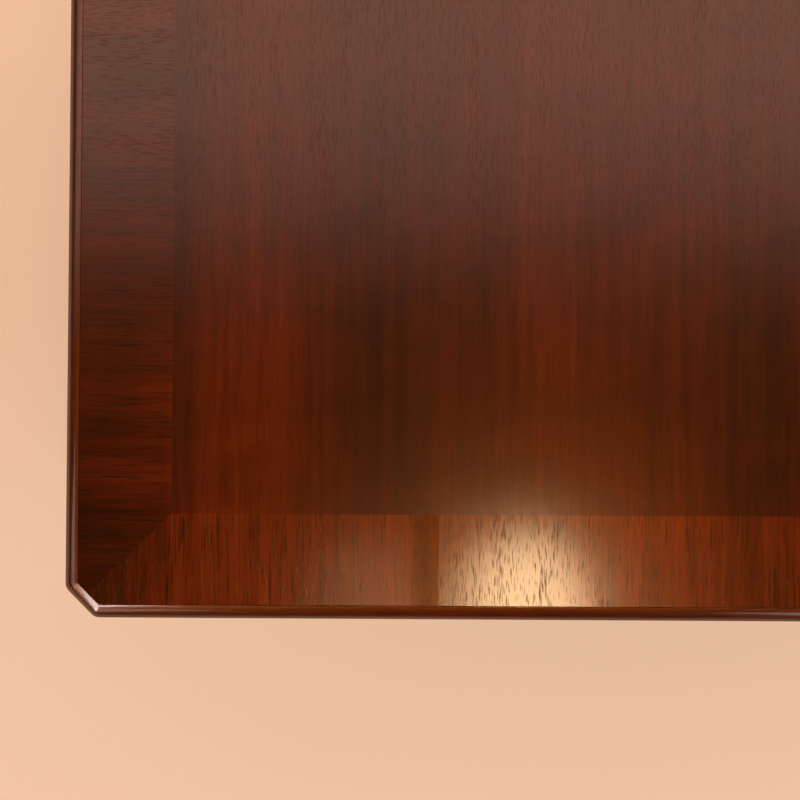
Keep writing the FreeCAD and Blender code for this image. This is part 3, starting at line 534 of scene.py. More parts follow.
def end_figure(grain):
    """Figure of the end bands: noise, and out towards the corners dark at the edge and light at the joint."""
    parts = parts_of(grain)
    out = calc("ABSOLUTE", parts[0])
    slope = remap(out, -end_low.x, -end_high.x, -0.1, 0.08)
    joint = remap(out, -end_high.x + JOINT_OUTER, -end_high.x + JOINT_INNER, 0, 0.1)
    corner = remap(calc("ABSOLUTE", parts[1]), 0.12, 0.3)
    return scaled(calc("ADD", slope, joint), corner, board_figure(grain))


end_polish = new_material("end_band_mahogany")
grain = object_grain("X")
figure = end_figure(grain)
mahogany(grain, END_TONES, figure, streaks=0.45, dashes=0.65, pores=0.6, lustre=0.6)
dress(end_polish, "left_end_band", "right_end_band")
print(f"end bands are {(end_high.x - end_low.x) * 1000:.1f} mm wide")

# %% Side bands
SUNK_START, SUNK_FULL, SUNK_SHADE, SUNK_POLISH = 0.86, 0.95, 0.3, 0.7
MITRE_START, MITRE_FULL, MITRE_SHADE = 0.76, 0.83, 0.13
THIRD_SHADE = 0.08


def band_figure(grain, leaf, share, along):
    """Figure of the side bands, and where their polish has sunk.

    It is noise, darker out at the mitres and in the last tenth of each leaf, where the polish is sunk too.
    The first leaf in front shows that most. Every third leaf is a shade darker.
    """
    bent = noise(grain, (2.0, 9, 30), detail=3, rough=0.55, twist=0.4)
    across = parts_of(grain)[0]
    calmer = remap(calc("MAXIMUM", leaf, across), 0.0, 0.4, 1.0, 0.2)
    end = scaled(remap(share, SUNK_START, SUNK_FULL), calmer)
    mitre = remap(calc("ABSOLUTE", along), MITRE_START, MITRE_FULL, 0, MITRE_SHADE)
    third = calc("GREATER_THAN", calc("FLOORED_MODULO", leaf, 3.0), 1.5)
    figure = scaled(third, -THIRD_SHADE, scaled(bent, 0.7, 0.17))
    darker = calc("MAXIMUM", scaled(end, SUNK_SHADE), mitre)
    return calc("SUBTRACT", figure, darker), scaled(end, SUNK_POLISH)


side_polish = new_material("side_band_mahogany")
grain, leaf, share, along = leaf_grain()
figure, sunk = band_figure(grain, leaf, share, along)
mahogany(grain, SIDE_TONES, figure, dashes=0.8, pores=0.95, lustre=0.7, sunk=sunk, haze=0.14)
dress(side_polish, "left_side_bands", "right_side_bands")
print("polished:", field_polish.name, end_polish.name, side_polish.name)

# %% [markdown]
# ## Sticks round the top
# The edge moulding, the apron and its bead are sticks, planed in lengths and mitred at the clipped corners.
# A curve with a bevel profile could do this, but its mitres are hard to place. Here the section is carried
# round an eight-sided plan: each edge is a line at some depth from the outside, neighbouring lines cross at
# the mitres, and a radius that fades to nothing at the back eases the mitred arris.

# %% Sections carried round an eight-sided plan
# the ways that the end, the clipped corner and the side face
BEARINGS = (180, 225, 270)
MITRE_TURN = 45
DIAGONAL = math.sqrt(0.5)
BEND_RINGS, STRAIGHT_RINGS = 5, 24


def facing(bearing):
    """Unit arrow of a bearing in degrees, anticlockwise from the X axis."""
    return np.array([math.cos(math.radians(bearing)), math.sin(math.radians(bearing))])


def crossing(plan, bearing, depth):
    """Plan point where the edge facing a bearing crosses the next edge round, both moved in by a depth.

    An edge is the line of points whose share along its outward normal is its distance less the depth. The
    crossing weighs each normal by its own distance less the other's times the cosine of 45 degrees, over
    the square of the sine, which is a half.
    """
    length, width, clip = plan
    corner = (length + width - clip) * DIAGONAL
    reach = {90: width, 135: corner, 180: length, 225: corner, 270: width}
    here, there = reach[bearing] - depth, reach[bearing + MITRE_TURN] - depth
    weight, next_weight = 2 * (here - there * DIAGONAL), 2 * (there - here * DIAGONAL)
    return weight[:, None] * facing(bearing) + next_weight[:, None] * facing(bearing + MITRE_TURN)


def stick(plan, bearing, section, wear, radius):
    """Stick along one edge of the plan, with half of the eased mitre at both ends, or square at the seam.

    Each ring is the section's depth and height; in a bend the rings fan out about the crossing that lies
    deeper by the easing radius, which shrinks to nothing at the stick's back.
    """
    depth, height = section.T
    ease = radius * (1 - depth / depth.max())[:, None]

    def bend(corner, low, high):
        turns = np.radians(np.linspace(low, high, BEND_RINGS))
        rim = np.stack([np.cos(turns), np.sin(turns)], -1)
        return crossing(plan, corner, depth + ease[:, 0]) + ease * rim[:, None]

    first = bend(bearing - MITRE_TURN, bearing - MITRE_TURN / 2, bearing)
    if bearing == BEARINGS[-1]:
        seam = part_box("left_side_mouldings")[1].x
        last = np.stack([np.full(len(depth), seam), depth - plan[1]], -1)[None]
    else:
        last = bend(bearing, bearing, bearing + MITRE_TURN / 2)
    share = np.linspace(0, 1, STRAIGHT_RINGS + 2)[1:-1, None, None]
    rings = np.concatenate([first, first[-1] + share * (last[0] - first[-1]), last])
    run = length_run(rings[:, 0])[:, None]
    tall = np.broadcast_to(height, rings.shape[:2])
    grain = np.stack(np.broadcast_arrays(run + bearing, depth, tall), -1)
    return skin(np.concatenate([rings, tall[..., None]], -1), grain, wear)


def sticks(plan, corners, foot, radius, ease):
    """End, corner and side sticks of the left half, the corner and the side in front and behind."""
    section, wear = eased(outline(corners), ease)
    section = section + np.array([0, foot])
    end, corner, side = [stick(plan, bearing, section, wear, radius) for bearing in BEARINGS]
    return [end], [corner, mirrored(corner, 1)], [side, mirrored(side, 1)]


top_length = -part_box("left_end_moulding")[0].x
top_width = -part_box("left_side_mouldings")[0].y
top_clip = top_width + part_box("left_end_moulding")[0].y
print(f"top {2 * top_length:.3f} x {2 * top_width:.3f} m, corners clipped by {top_clip * 1000:.1f} mm")

# %% [markdown]
# ## Edge moulding
# The edge of the top is an ovolo with a narrow sunk line, the quirk, between it and the veneer. It could be a
# bevel on the top itself, but it is a solid stick glued round the core, with its grain along the edge. Its
# polish mirrors more sharply than that of the veneers.

# %% Edge moulding with its quirk
edge_polish = new_material("edge_mahogany")
mahogany(carried_grain(), EDGE_TONES, pores=0.4, haze=0.08, worn=True)
OVOLO = [(5, 0), (15, 0), (15, 22), (14.1, 22), (14.1, 23.5, 42), (0, 16.5), (0, 5, 90)]
EDGE_PARTS = ("end_moulding", "corner_mouldings", "side_mouldings")
edge_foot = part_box("left_end_moulding")[0].z
edge_plan = (top_length, top_width, top_clip)
edge_run = sticks(edge_plan, OVOLO, edge_foot, radius=12 * MM, ease=0.25)
for part, skins in zip(EDGE_PARTS, edge_run):
    add_halves(part, skins, "edge_mahogany", edge_polish)
print("edge moulding in", sum(len(skins) for skins in edge_run), "lengths a half")

# %% [markdown]
# ## Aprons and their bead
# Below the top a shallow apron stands back from the edge, canted at the corners like the top, with a small
# bead glued along its foot. They could be bevelled boxes, but the call that made the edge moulding makes them
# too, from other sections.

# %% Aprons and bead
apron_polish = new_material("apron_mahogany")
mahogany(carried_grain(), BASE_TONES, worn=True)
APRON = [(0, 0), (20, 0), (20, 62), (0, 62)]
apron_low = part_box("left_end_apron")[0]
apron_width = -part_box("left_side_aprons")[0].y
apron_plan = (-apron_low.x, apron_width, apron_width + apron_low.y)
apron_run = sticks(apron_plan, APRON, apron_low.z, radius=1.5 * MM, ease=0.5)
for part, skins in zip(("end_apron", "corner_aprons", "side_aprons"), apron_run):
    add_halves(part, skins, "apron_mahogany", apron_polish)

BEAD_DEPTH = 4
BEAD = [(BEAD_DEPTH, 0), (BEAD_DEPTH, 10, 90), (0, 6), (0, 4, 90)]
bead_out = BEAD_DEPTH * MM
clip_growth = bead_out * (2 - math.sqrt(2))
bead_plan = (apron_plan[0] + bead_out, apron_plan[1] + bead_out, apron_plan[2] + clip_growth)
bead_run = sticks(bead_plan, BEAD, apron_low.z, radius=1.0 * MM, ease=0.15)
add_halves("apron_bead", [one for skins in bead_run for one in skins], "apron_mahogany", apron_polish)
print(f"apron set back {(top_length - apron_plan[0]) * 1000:.0f} mm, foot at {apron_low.z:.3f} m")

# %% [markdown]
# ## Turned columns and drops
# Each half stands on a turned column: a collar, a ring, an urn, a second ring, a tapered shaft, a third ring
# and an ovolo. A Screw modifier could spin a profile, but then its wear would be lost. The surface is the
# profile swung about the axis. The hub has flats for the legs, so it is a plan outline carried straight up.

# %% Turned profiles
base_polish = new_material("turned_mahogany")
mahogany(object_grain("Z"), BASE_TONES, worn=True)
column_low, column_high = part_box("left_column")
AXIS = np.array([(column_low.x + column_high.x) / 2, 0])
NEAR_AXIS = 0.4 * MM


def turned(corners, centre=AXIS, around=112, ease=0.8):
    """Turning from one side of its profile: each point's radius swung round the axis at its own height.

    The profile is eased together with its mirror image, so that it crosses the axis level, and the half on
    the plus side is kept.
    """
    other = [(-corner[0], corner[1]) for corner in reversed(corners)]
    turns = [corner[2] if len(corner) > 2 else 0 for corner in corners]
    other = [corner + (turn,) for corner, turn in zip(other, [0] + turns[-2::-1] + [0])]
    line, wear = eased(outline(corners + other), ease)
    right = line[:, 0] > NEAR_AXIS
    line, wear = line[right], wear[right]
    spin = np.linspace(0, 2 * np.pi, around, endpoint=False)
    radius, height = line[:, :1], np.broadcast_to(line[:, 1:], (len(line), around))
    rings = np.stack([centre[0] + radius * np.cos(spin), centre[1] + radius * np.sin(spin), height], -1)
    return skin(rings, np.zeros(3), wear[:, None])


# an arc that stands half as proud of its chord as a quarter round does
SWELL = math.degrees(4 * math.atan(math.tan(math.radians(22.5)) / 2))
COLUMN = [(0, 262), (66, 262), (66, 272), (53, 272, 180), (53, 288), (46, 288, SWELL), (80, 384, SWELL),
          (58, 422, -SWELL), (36, 462), (43, 462, 180), (43, 478), (40, 478), (35, 619), (42, 619, 180),
          (42, 627), (35, 627), (35, 653, 90), (65, 679), (72, 679), (72, 693), (0, 693)]
DROP = [(0, 110, 90), (22, 128, -SWELL), (38, 137), (38, 146), (0, 146)]
print(f"column axis at x = {AXIS[0]:.3f} m, {column_high.z - column_low.z:.3f} m tall")

# %% Columns with their hubs, and drops
HUB_RADIUS, HUB_FLAT, HUB_FOOT, HUB_TOP = 66, 56, 150, 264
flat_half = math.sqrt(HUB_RADIUS ** 2 - HUB_FLAT ** 2)
hub_bow = 90 - 2 * math.degrees(math.atan2(flat_half, HUB_FLAT))
HUB_PLAN = [(HUB_FLAT, -flat_half), (HUB_FLAT, flat_half, hub_bow),
            (flat_half, HUB_FLAT), (-flat_half, HUB_FLAT, hub_bow),
            (-HUB_FLAT, flat_half), (-HUB_FLAT, -flat_half, hub_bow),
            (-flat_half, -HUB_FLAT), (flat_half, -HUB_FLAT, hub_bow)]
# height above the hub's foot, and how far the plan is drawn in there
HUB_ARRIS = np.array([(0, 1.0), (0.3, 0.4), (1.0, 0.08), (2.0, 0), (HUB_TOP - HUB_FOOT, 0)])


def hub():
    """Hub under the collar: its plan, turned by 45 degrees, carried up, with its lower arris eased.

    At each height the plan is scaled down by how far it is drawn in over the radius.
    """
    plan, wear = eased(outline(HUB_PLAN), longest=6, sharpest=6)
    across = (plan[:, 0] + 1j * plan[:, 1]) * np.exp(0.25j * np.pi)
    heights, drawn_in = HUB_ARRIS.T[..., None]
    rings = (1 - drawn_in / HUB_RADIUS) * across
    tall = np.broadcast_to((heights + HUB_FOOT) * MM, rings.shape)
    return skin(np.stack([rings.real + AXIS[0], rings.imag + AXIS[1], tall], -1), np.zeros(3), wear)


add_halves("column", [turned(COLUMN), hub()], "base_mahogany", base_polish)
add_halves("turned_drop", [turned(DROP, around=72, ease=0.5)], "base_mahogany", base_polish)
print("flats of a hub are", round(2 * flat_half, 1), "mm wide")

# %% [markdown]
# ## Sabre legs
# Four legs sweep down from each hub in a double curve, with three reeds along their top. A leg could be a
# curve object with a taper, but the reeds need their own depth at every place. The upper and the lower line
# are tangent arcs. A rounded section stands between points at the same share of both, and the reeds are half
# waves sunk into its top, fading out at the hub and the toe.

# %% Lines of a leg
HUB_BURIED, SHOULDER = 54, 391
LEG_TOP, SHOULDER_TOP = [(56, 262), (185, 196), (390, 48)], 47.7
LEG_UNDER, SHOULDER_UNDER = [(100, 150), (165, 118), (390, 5)], 5


def leg_line(points, end_height):
    """Line in mm from inside the hub, level to its first point, in arcs through all, then to the shoulder.

    Each arc turns by twice the angle from its heading to its chord, so the next one leaves as it arrives.
    """
    runs = [np.array([(HUB_BURIED, points[0][1])], float)]
    heading = 0.0
    for start, end in zip(points, points[1:]):
        lean = math.degrees(math.atan2(end[1] - start[1], end[0] - start[0])) - heading
        runs.append(arc_run(start, end, 2 * lean))
        heading += 2 * lean
    return np.concatenate(runs + [np.array([points[-1], (SHOULDER, end_height)], float)])


def at_shares(line, shares):
    """Points in metres at shares of the length of a line in mm."""
    run = length_run(line)
    return np.stack([np.interp(shares * run[-1], run, line[:, axis]) for axis in (0, 1)], -1) * MM


upper, under = leg_line(LEG_TOP, SHOULDER_TOP), leg_line(LEG_UNDER, SHOULDER_UNDER)
print("a leg's lines run", [round(length_run(line)[-1]) for line in (upper, under)], "mm")

# %% Rounded sections swung to a bearing
BOW_STEPS = 7


def rounded_section(top_steps):
    """Unit section, anticlockwise from its lower right, with steps along its top.

    Each point has its share across, its share up, and the cosine and sine of its place in a rounded corner.
    """
    bow = np.radians(np.linspace(0, 90, BOW_STEPS))
    corners = [(np.cos(bow + turn), np.sin(bow + turn)) for turn in np.radians([270, 0, 90, 180])]
    sides = [(1, -1), (1, 1), (-1, 1), (-1, -1)]
    blocks = []
    for (across, up), (cosine, sine) in zip(sides, corners):
        blocks.append(np.stack([np.full(BOW_STEPS, across), np.full(BOW_STEPS, up), cosine, sine], -1))
        if (across, up) == (1, 1):
            steps = np.linspace(1, -1, top_steps + 2)[1:-1]
            blocks.append(np.stack(np.broadcast_arrays(steps, 1.0, 0.0, 1.0), -1))
    return np.concatenate(blocks).T


def on_arris(cosine, sine):
    """Whether a point lies on a rounded corner, away from where it meets the flats."""
    return np.abs(cosine * sine) > 0.05


def swung(reach, wide, high, turn):
    """Points at a reach from the axis and a width to the left of it, swung to a bearing, at their height."""
    plan = AXIS + reach[..., None] * facing(turn) + wide[..., None] * facing(turn + 90)
    return np.concatenate([plan, high[..., None]], -1)


LEG_TOP_STEPS = 35
print("points in a section of a leg:", rounded_section(LEG_TOP_STEPS).shape[1])

# %% Sabre legs with reeds
LEG_TURNS = {"back_inner": 45, "back_outer": 135, "front_outer": 225, "front_inner": 315}
LEG_RINGS = 90
LEG_REACHES, LEG_HALVES = np.array([56, 390]) * MM, np.array([24, 18]) * MM
LEG_ROUND, LEG_ARRIS_WEAR = 5 * MM, 0.45
REEDS, REED_DEPTH = 3, 2.2 * MM
REED_START, REED_END, REED_FADE = 75 * MM, 372 * MM, 30 * MM


def leg_skin(turn):
    """Leg: sections between equal shares of the upper and the lower line, swung to the leg's bearing.

    The depth sunk beside the reeds is one less the size of a sine that makes a half wave for each reed across
    the top. It fades by the square of two straight ramps, one from each end of the reeds.
    """
    shares = np.linspace(0, 1, LEG_RINGS)
    top, foot = at_shares(upper, shares), at_shares(under, shares)
    rise = top - foot
    tall = np.hypot(*rise.T)[:, None]
    reach = (top[:, :1] + foot[:, :1]) / 2
    half = np.interp(reach, LEG_REACHES, LEG_HALVES)
    across, up, cosine, sine = rounded_section(LEG_TOP_STEPS)
    wide = across * (half - LEG_ROUND) + LEG_ROUND * cosine
    high = tall / 2 + up * (tall / 2 - LEG_ROUND) + LEG_ROUND * sine

    on_top = (np.abs(across) < 1) & (up == 1) & (cosine == 0)
    reed = np.where(on_top, 1 - np.abs(np.sin(REEDS / 2 * np.pi * (across + 1))), 0)
    fade_in = np.clip((reach - REED_START) / REED_FADE, 0, 1)
    fade_out = np.clip((REED_END - reach) / REED_FADE, 0, 1)
    sunk = reed * (fade_in * fade_out) ** 2
    high = high - sunk * REED_DEPTH

    side_view = foot[:, None] + high[..., None] * (rise / tall)[:, None]
    run = length_run((top + foot) / 2)[:, None]
    grain = np.stack(np.broadcast_arrays(run + turn, wide, high), -1)
    wear = np.where(on_arris(cosine, sine), LEG_ARRIS_WEAR, 0.0) - sunk
    return skin(swung(side_view[..., 0], wide, side_view[..., 1], turn), grain, wear)


leg_polish = new_material("leg_mahogany")
mahogany(carried_grain(), BASE_TONES, worn=True)
for part, turn in LEG_TURNS.items():
    add_halves(f"leg_{part}", [leg_skin(turn)], "base_mahogany", leg_polish)
print("legs:", 2 * len(LEG_TURNS))

# %% [markdown]
# ## Brass, steel and plastic
# The toes end in cast brass caps, and brass hooks lock the halves. Rods, plates and screws are steel, and the
# glides are black plastic. A plain metallic colour would do for new brass. Old brass has fine scratches and a
# brown film, thickest where nobody rubs it, so the film is noise in the colour and the roughness.

# %% Brass and steel
SCRATCH_DEPTH = 0.03 * MM


def metal(name, bright, film, rough, worn=False):
    """Old metal: a film laid over it in clouds, specks, and fine scratches that tilt the shine."""
    material = new_material(name)
    point = object_point()
    cloud = noise(point, (60, 60, 60), detail=5, rough=0.65, twist=0.8)
    speck = noise(point, (900, 900, 900))
    scratch = noise(point, (140, 2600, 900), detail=1)
    share = remap(scaled(speck, 0.25, cloud), 0.48, 0.8, 0.05, 0.8)
    if worn:
        share = calc("SUBTRACT", share, scaled(carried_wear(), 0.5))
    colour = blend(share, paint(*bright), paint(*film))
    roughness = scaled(cloud, 0.3, rough)
    shade(colour, roughness, bump(scratch, 0.4, SCRATCH_DEPTH), Metallic=1.0)
    return material


cast_brass = metal("cast_brass", (222, 178, 98), (118, 80, 38), 0.12, worn=True)
latch_brass = metal("latch_brass", (204, 164, 92), (104, 76, 42), 0.22)
steel = metal("steel", (158, 157, 155), (92, 86, 82), 0.28)
dress(latch_brass, "latch_plates", "keeper_plates", "front_latch_lever", "back_latch_lever")
for half, _ in HALVES:
    dress(steel, f"{half}_tie_rod", f"{half}_spider_plate", f"{half}_screws")
print("metals:", cast_brass.name, latch_brass.name, steel.name)

# %% Plastic
PLASTIC_TONES = [(24, 21, 19), (34, 30, 27), (58, 52, 47)]
GRIT_DEPTH = 0.06 * MM
glide_plastic = new_material("glide_plastic")
point = object_point()
grit = noise(point, (700, 700, 700), detail=3, rough=0.6)
scuff = noise(point, (90, 90, 90), detail=4, rough=0.6)
roughness = scaled(scuff, 0.3, 0.4)
shade(ramp(scuff, PLASTIC_TONES), roughness, bump(grit, 0.5, GRIT_DEPTH))
print("plastic:", glide_plastic.name)

# %% [markdown]
# ## Toe caps and glides
# A toe cap is a cast box over the end of a leg, with a rolled rim and a rounded nose. It could be a cube with
# bevels, but rim and nose come out truer as sections along the cap: half width, top and underside are each a
# function of how far along the cap they are. A plastic glide lifts it off the floor.

# %% Toe caps
CAP_START, CAP_END, CAP_HALF, CAP_ROUND = 389.5, 455, 18, 5
CAP_BACK, CAP_BACK_TOP, CAP_END_TOP, CAP_UNDER = 390, 48, 36, 5
NOSE_SIDES, NOSE_TOP, NOSE_UNDER = 11, 7, 2
RIM_LENGTH, RIM_SWELL, GROOVE_DEPTH, GROOVE_WIDTH = 5, 1.3, 0.35, 1.0
ROUNDS_IN_HEIGHT = 2.2
CAP_TOP_STEPS = 9
GROOVE = CAP_START + RIM_LENGTH + GROOVE_WIDTH


def nose_drop(reach, radius):
    """How far a quarter round of a radius has fallen at each reach before the cap's end."""
    past = np.clip(reach - (CAP_END - radius), 0, radius)
    return radius - np.sqrt(radius ** 2 - past ** 2)


def cap_skin(turn):
    """Toe cap: rounded sections along its reach, swollen at the rim and drawn in at the nose.

    Sections stand close at the rim and in the nose. The rim is half an ellipse, and a groove in the form of a
    bell curve follows it. The nose is a quarter round, with its own radius at the sides, above and below.
    """
    nose = CAP_END - NOSE_SIDES
    bow = nose + NOSE_SIDES * np.sin(np.linspace(0, np.pi / 2, 16))
    reach = [np.linspace(CAP_START, GROOVE, 13), np.linspace(GROOVE + 1, nose - 1, 9), bow]
    reach = np.concatenate(reach)[:, None]
    into = np.clip((reach - CAP_START) / RIM_LENGTH, 0, 1)
    rolled = RIM_SWELL * np.sqrt(np.clip(1 - (2 * into - 1) ** 2, 0, 1))
    rim = rolled - GROOVE_DEPTH * np.exp(-((reach - GROOVE) / GROOVE_WIDTH) ** 2)
    slope = np.interp(reach, [CAP_BACK, CAP_END], [CAP_BACK_TOP, CAP_END_TOP])
    half = CAP_HALF + rim - nose_drop(reach, NOSE_SIDES)
    roof = slope + rim - nose_drop(reach, NOSE_TOP)
    sole = CAP_UNDER + nose_drop(reach, NOSE_UNDER)
    across, up, cosine, sine = rounded_section(CAP_TOP_STEPS)
    round_off = np.minimum(CAP_ROUND, (roof - sole) / ROUNDS_IN_HEIGHT)
    wide = across * (half - round_off) + round_off * cosine
    high = (roof + sole) / 2 + up * ((roof - sole) / 2 - round_off) + round_off * sine
    wear = np.clip(0.5 * on_arris(cosine, sine) + rim / RIM_SWELL, -1, 1)
    return skin(swung(reach * MM, wide * MM, high * MM, turn), np.zeros(3), wear)


add_halves("toe_caps", [cap_skin(turn) for turn in LEG_TURNS.values()], "cast_brass", cast_brass)
print("toe caps:", 2 * len(LEG_TURNS))

# %% Glides
GLIDE = [(0, 0), (13, 0), (15, 5), (0, 5)]
GLIDE_REACH = 422.5 * MM
foot_places = [AXIS + GLIDE_REACH * facing(turn) for turn in LEG_TURNS.values()]
glides = [turned(GLIDE, place, around=48, ease=0.4) for place in foot_places]
add_halves("glides", glides, "glide_plastic", glide_plastic)
print("cap and glide under each of", 2 * len(foot_places), "toes")

# %% [markdown]
# ## Plain wood below
# What nobody sees is made of plainer wood: the core of the top, the blocks and packers, the slide rails and
# the pins. One flat brown would do from afar. The real wood is sawn and planed, not polished, so it is pale
# and dull, with rings and fibres and no coat.

# %% Plain wood of the core, blocks and slides
RING_DEPTH = 0.1 * MM


def plain_wood(name, tones, rough):
    """Unpolished wood with its grain along X: growth rings, which are waves of a slow noise, and fibres."""
    material = new_material(name)
    grain = object_grain("X")
    bent = noise(grain, (1.3, 14, 14), detail=3, rough=0.6, twist=0.3)
    ring = calc("SINE", scaled(bent, 95.0))
    fibre = noise(grain, (18, 700, 700), detail=3, rough=0.6)
    tone = scaled(ring, 0.16, scaled(fibre, 0.5, 0.25))
    height = scaled(ring, 0.12, fibre)
    roughness = scaled(fibre, 0.2, rough)
    shade(ramp(tone, tones), roughness, bump(height, 0.6, RING_DEPTH))
    return material


secondary_wood = plain_wood("secondary_wood", [(120, 84, 48), (160, 122, 76), (188, 150, 100)], 0.6)
slide_wood = plain_wood("slide_wood", [(142, 100, 56), (176, 136, 84), (200, 162, 108)], 0.4)
pin_wood = plain_wood("pin_wood", [(160, 122, 76), (188, 150, 98), (208, 172, 120)], 0.55)
for half, _ in HALVES:
    parts = ("top_core", "glue_blocks", "slide_packers", "mounting_block")
    dress(secondary_wood, *(f"{half}_{part}" for part in parts))
    dress(slide_wood, f"{half}_slide_rails")
dress(slide_wood, "middle_slide_rails")
dress(pin_wood, "alignment_pins")
print("plain woods:", secondary_wood.name, slide_wood.name, pin_wood.name)

# %% [markdown]
# ## Floor
# A plain white plane would do as a floor, but its far edge would show as a line. This one takes shadows near
# the table and glows more with distance, until it has the backdrop's colour. In front of the table it glows
# more than behind, as the floor in the photograph is lighter there.

# %% Floor
BACKDROP, NEAR_GLOW = paint(249, 222, 198), paint(252, 209, 176)
FLOOR_TONES = [(250, 210, 177), (254, 220, 190)]
FLOOR_HALF = 12.0
FADE_START, FADE_END = 1.4, 4.5
FRONT_EDGE, FRONT_SHARE, BACK_EDGE, BACK_SHARE = -0.65, 0.6, -0.05, 0.28


def ray_kinds():
    """1 for a ray straight from the camera, and 1 for one that came by a mirror or through glass."""
    rays = put("LightPath").outputs
    return rays["Is Camera Ray"], calc("MAXIMUM", rays["Is Glossy Ray"], rays["Is Transmission Ray"])


floor_paint = new_material("floor")
point = object_point()
cloud = noise(point, (1.5, 1.5, 1.5), detail=4, rough=0.6)
surface = put("BsdfDiffuse", {"Color": ramp(cloud, FLOOR_TONES)}).outputs[0]
far = put("VectorMath", {0: point}, operation="LENGTH").outputs["Value"]
tint = blend(remap(far, FADE_START, FADE_END), NEAR_GLOW, BACKDROP)
glow = put("Emission", {"Color": tint, "Strength": 1.0}).outputs[0]
from_camera, by_mirror = ray_kinds()
seen = scaled(by_mirror, 0.5, from_camera)
near_share = remap(parts_of(point)[1], FRONT_EDGE, BACK_EDGE, FRONT_SHARE, BACK_SHARE)
share = scaled(remap(far, FADE_START, FADE_END, near_share, 1.0), seen)
mixed = put("MixShader", {0: share, 1: surface, 2: glow}).outputs[0]
below = put("NewGeometry").outputs["Backfacing"]
clear = put("BsdfTransparent").outputs[0]
mixed = put("MixShader", {0: below, 1: mixed, 2: clear}).outputs[0]
put("OutputMaterial", {"Surface": mixed})

floor_corners = [(FLOOR_HALF * x, FLOOR_HALF * y, 0) for x, y in ((-1, -1), (1, -1), (1, 1), (-1, 1))]
floor_mesh = bpy.data.meshes.new("floor")
floor_mesh.from_pydata(floor_corners, [], [(0, 1, 2, 3)])
floor_mesh.materials.append(floor_paint)
floor = bpy.data.objects.new("floor", floor_mesh)
scene.collection.objects.link(floor)
floor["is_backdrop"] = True
print("floor at", cad_box[0].z)

# %% [markdown]
# ## The room overhead
# Polish shows whatever is above it. On this top a warm veil lies over the far part, and the near part is deep
# and dark. A picture of a room could be mirrored, but smooth steps of the direction are enough: dark overhead
# in front, warm behind, and a little light low down all round. The camera itself sees the plain backdrop.

# %% World
ROOM_DARK, ROOM_LOW, ROOM_BEHIND = 0.008, 0.3, 1.7
ROOM_WHITE, ROOM_WARM = (1.0, 0.97, 0.93, 1.0), (1.0, 0.71, 0.59, 1.0)
world = bpy.data.worlds.new("studio")
scene.world = world
start_wiring(world)
parts = parts_of(put("TexCoord").outputs["Generated"])
horizon = remap(parts[2], 0.16, 0.0)
behind = remap(calc("DIVIDE", parts[1], calc("MAXIMUM", parts[2], 0.05)), 0.08, 0.33)
overhead = scaled(behind, remap(parts[2], 0.35, 0.7))
level = scaled(remap(parts[2], 0.3, 0.02), ROOM_LOW, ROOM_DARK)
level = scaled(overhead, ROOM_BEHIND, level)
tint = blend(overhead, ROOM_WHITE, ROOM_WARM)
lit = put("Background", {"Color": tint, "Strength": level}).outputs[0]
plain = put("Background", {"Color": BACKDROP, "Strength": 1.0}).outputs[0]
from_camera, by_mirror = ray_kinds()
seen = calc("MAXIMUM", from_camera, scaled(by_mirror, horizon))
mixed = put("MixShader", {0: seen, 1: lit, 2: plain}).outputs[0]
put("OutputWorld", {"Surface": mixed})
print("world: dark overhead in front, warm behind, pale low down")

# %% [markdown]
# ## Lamps
# A long window on the left gives the edges their sheen, soft panels light the other sides, and two small
# panes overhead leave the warm gleam on the near band. Spot lamps could do that, but polish would mirror them
# as hard dots. A bright card gives the clipped corner its white line. It is linked to the left half's edge
# moulding alone, because the top would mirror it as a white patch.

# %% Lamps
TABLE_TOP = cad_box[1].z
PANE_HEIGHT = TABLE_TOP + 2.0
DAYLIGHT, WINDOW, CARD, GLEAM = (1.0, 0.95, 0.88), (1.0, 0.9, 0.78), (0.95, 0.92, 1.0), (1.0, 0.74, 0.40)
middle = (0, 0, TABLE_TOP - 0.2)
clipped_corner = (top_clip - top_length, -top_width, TABLE_TOP)


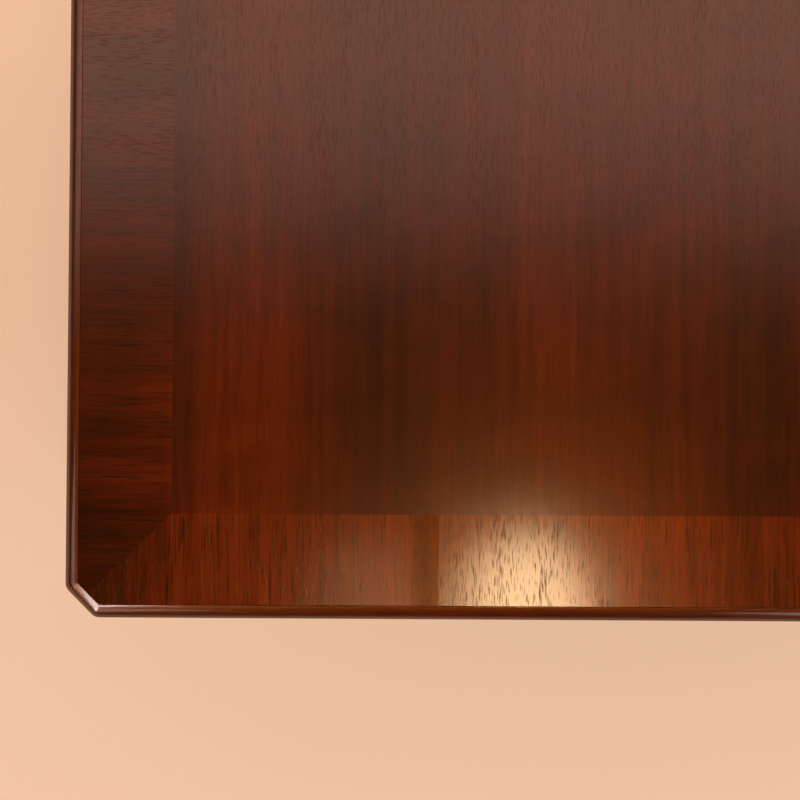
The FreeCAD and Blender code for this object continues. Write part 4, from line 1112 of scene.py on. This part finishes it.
def panel(name, place, aim, size, radiance, colour=DAYLIGHT, shape="RECTANGLE"):
    """Soft panel at a place, facing a point; power is its radiance times the box round it times pi."""
    lamp = bpy.data.lights.new(name, "AREA")
    lamp.shape = shape
    lamp.size, lamp.size_y = size
    lamp.energy = radiance * size[0] * size[1] * math.pi
    lamp.color = colour
    made = bpy.data.objects.new(name, lamp)
    made.location = place
    towards = np.array(aim) - np.array(place)
    flat = math.hypot(towards[0], towards[1])
    made.rotation_euler = (math.atan2(flat, -towards[2]), 0, math.atan2(-towards[0], towards[1]))
    made.visible_camera = False
    scene.collection.objects.link(made)
    return made


panel("left_window", (-2.9, -2.22, 3.03), middle, (4.1, 1.2), 1.7, WINDOW)
card = panel("corner_card", (-2.01, -1.87, 2.42), clipped_corner, (0.72, 1.9), 12.5, CARD)
card.visible_diffuse = False
edges = bpy.data.collections.new("edges_by_the_card")
for part in EDGE_PARTS:
    edges.objects.link(bpy.data.objects[f"left_{part}_dressed"])
card.light_linking.receiver_collection = edges
panel("front_fill", (2.4, -3.0, 2.8), middle, (3.2, 2.2), 2.3)
panel("back_fill", (0.4, 3.6, 3.0), middle, (3.4, 2.2), 2.4)
panel("right_key", (3.3, 1.0, 3.1), middle, (3.0, 2.4), 2.6)
for name, x, y, size, radiance in (("near_pane", -0.26, -0.89, (0.32, 0.45), 18.6),
                                   ("far_pane", -0.70, -0.88, (0.24, 0.40), 1.4)):
    panel(name, (x, y, PANE_HEIGHT), (x, y + 0.01, TABLE_TOP), size, radiance, GLEAM, "ELLIPSE")

# %% [markdown]
# ## Camera
# The photograph looks almost straight down on one corner of the top. The camera could be set by eye. Instead,
# eleven points along the edges, bands and clipped corner were matched to the model's own points, which gives
# the camera's place, its small lean and a lens of 54 mm on a 36 mm sensor.

# %% Camera
camera = bpy.data.objects.new("camera", bpy.data.cameras.new("camera"))
camera.data.lens = 54
camera.data.sensor_width = 36
camera.location = (-0.56528, -0.36178, 1.96299)
camera.rotation_euler = tuple(math.radians(angle) for angle in (1.13877, 0.54327, 0.24928))
scene.collection.objects.link(camera)
scene.camera = camera
scene.view_settings.view_transform = "Standard"
print("camera", round(camera.location.z - TABLE_TOP, 3), "m above the top")

# %% [markdown]
# ## Sizes
# The dressed table has to be as large as the built one. Both boxes could be compared by eye. Here both are
# measured and their difference is printed.

# %% Sizes and finish
dressed_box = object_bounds()
growth = (dressed_box[1] - dressed_box[0]) - (cad_box[1] - cad_box[0])
print("grown by", [round(part * 1000, 2) for part in growth], "mm")
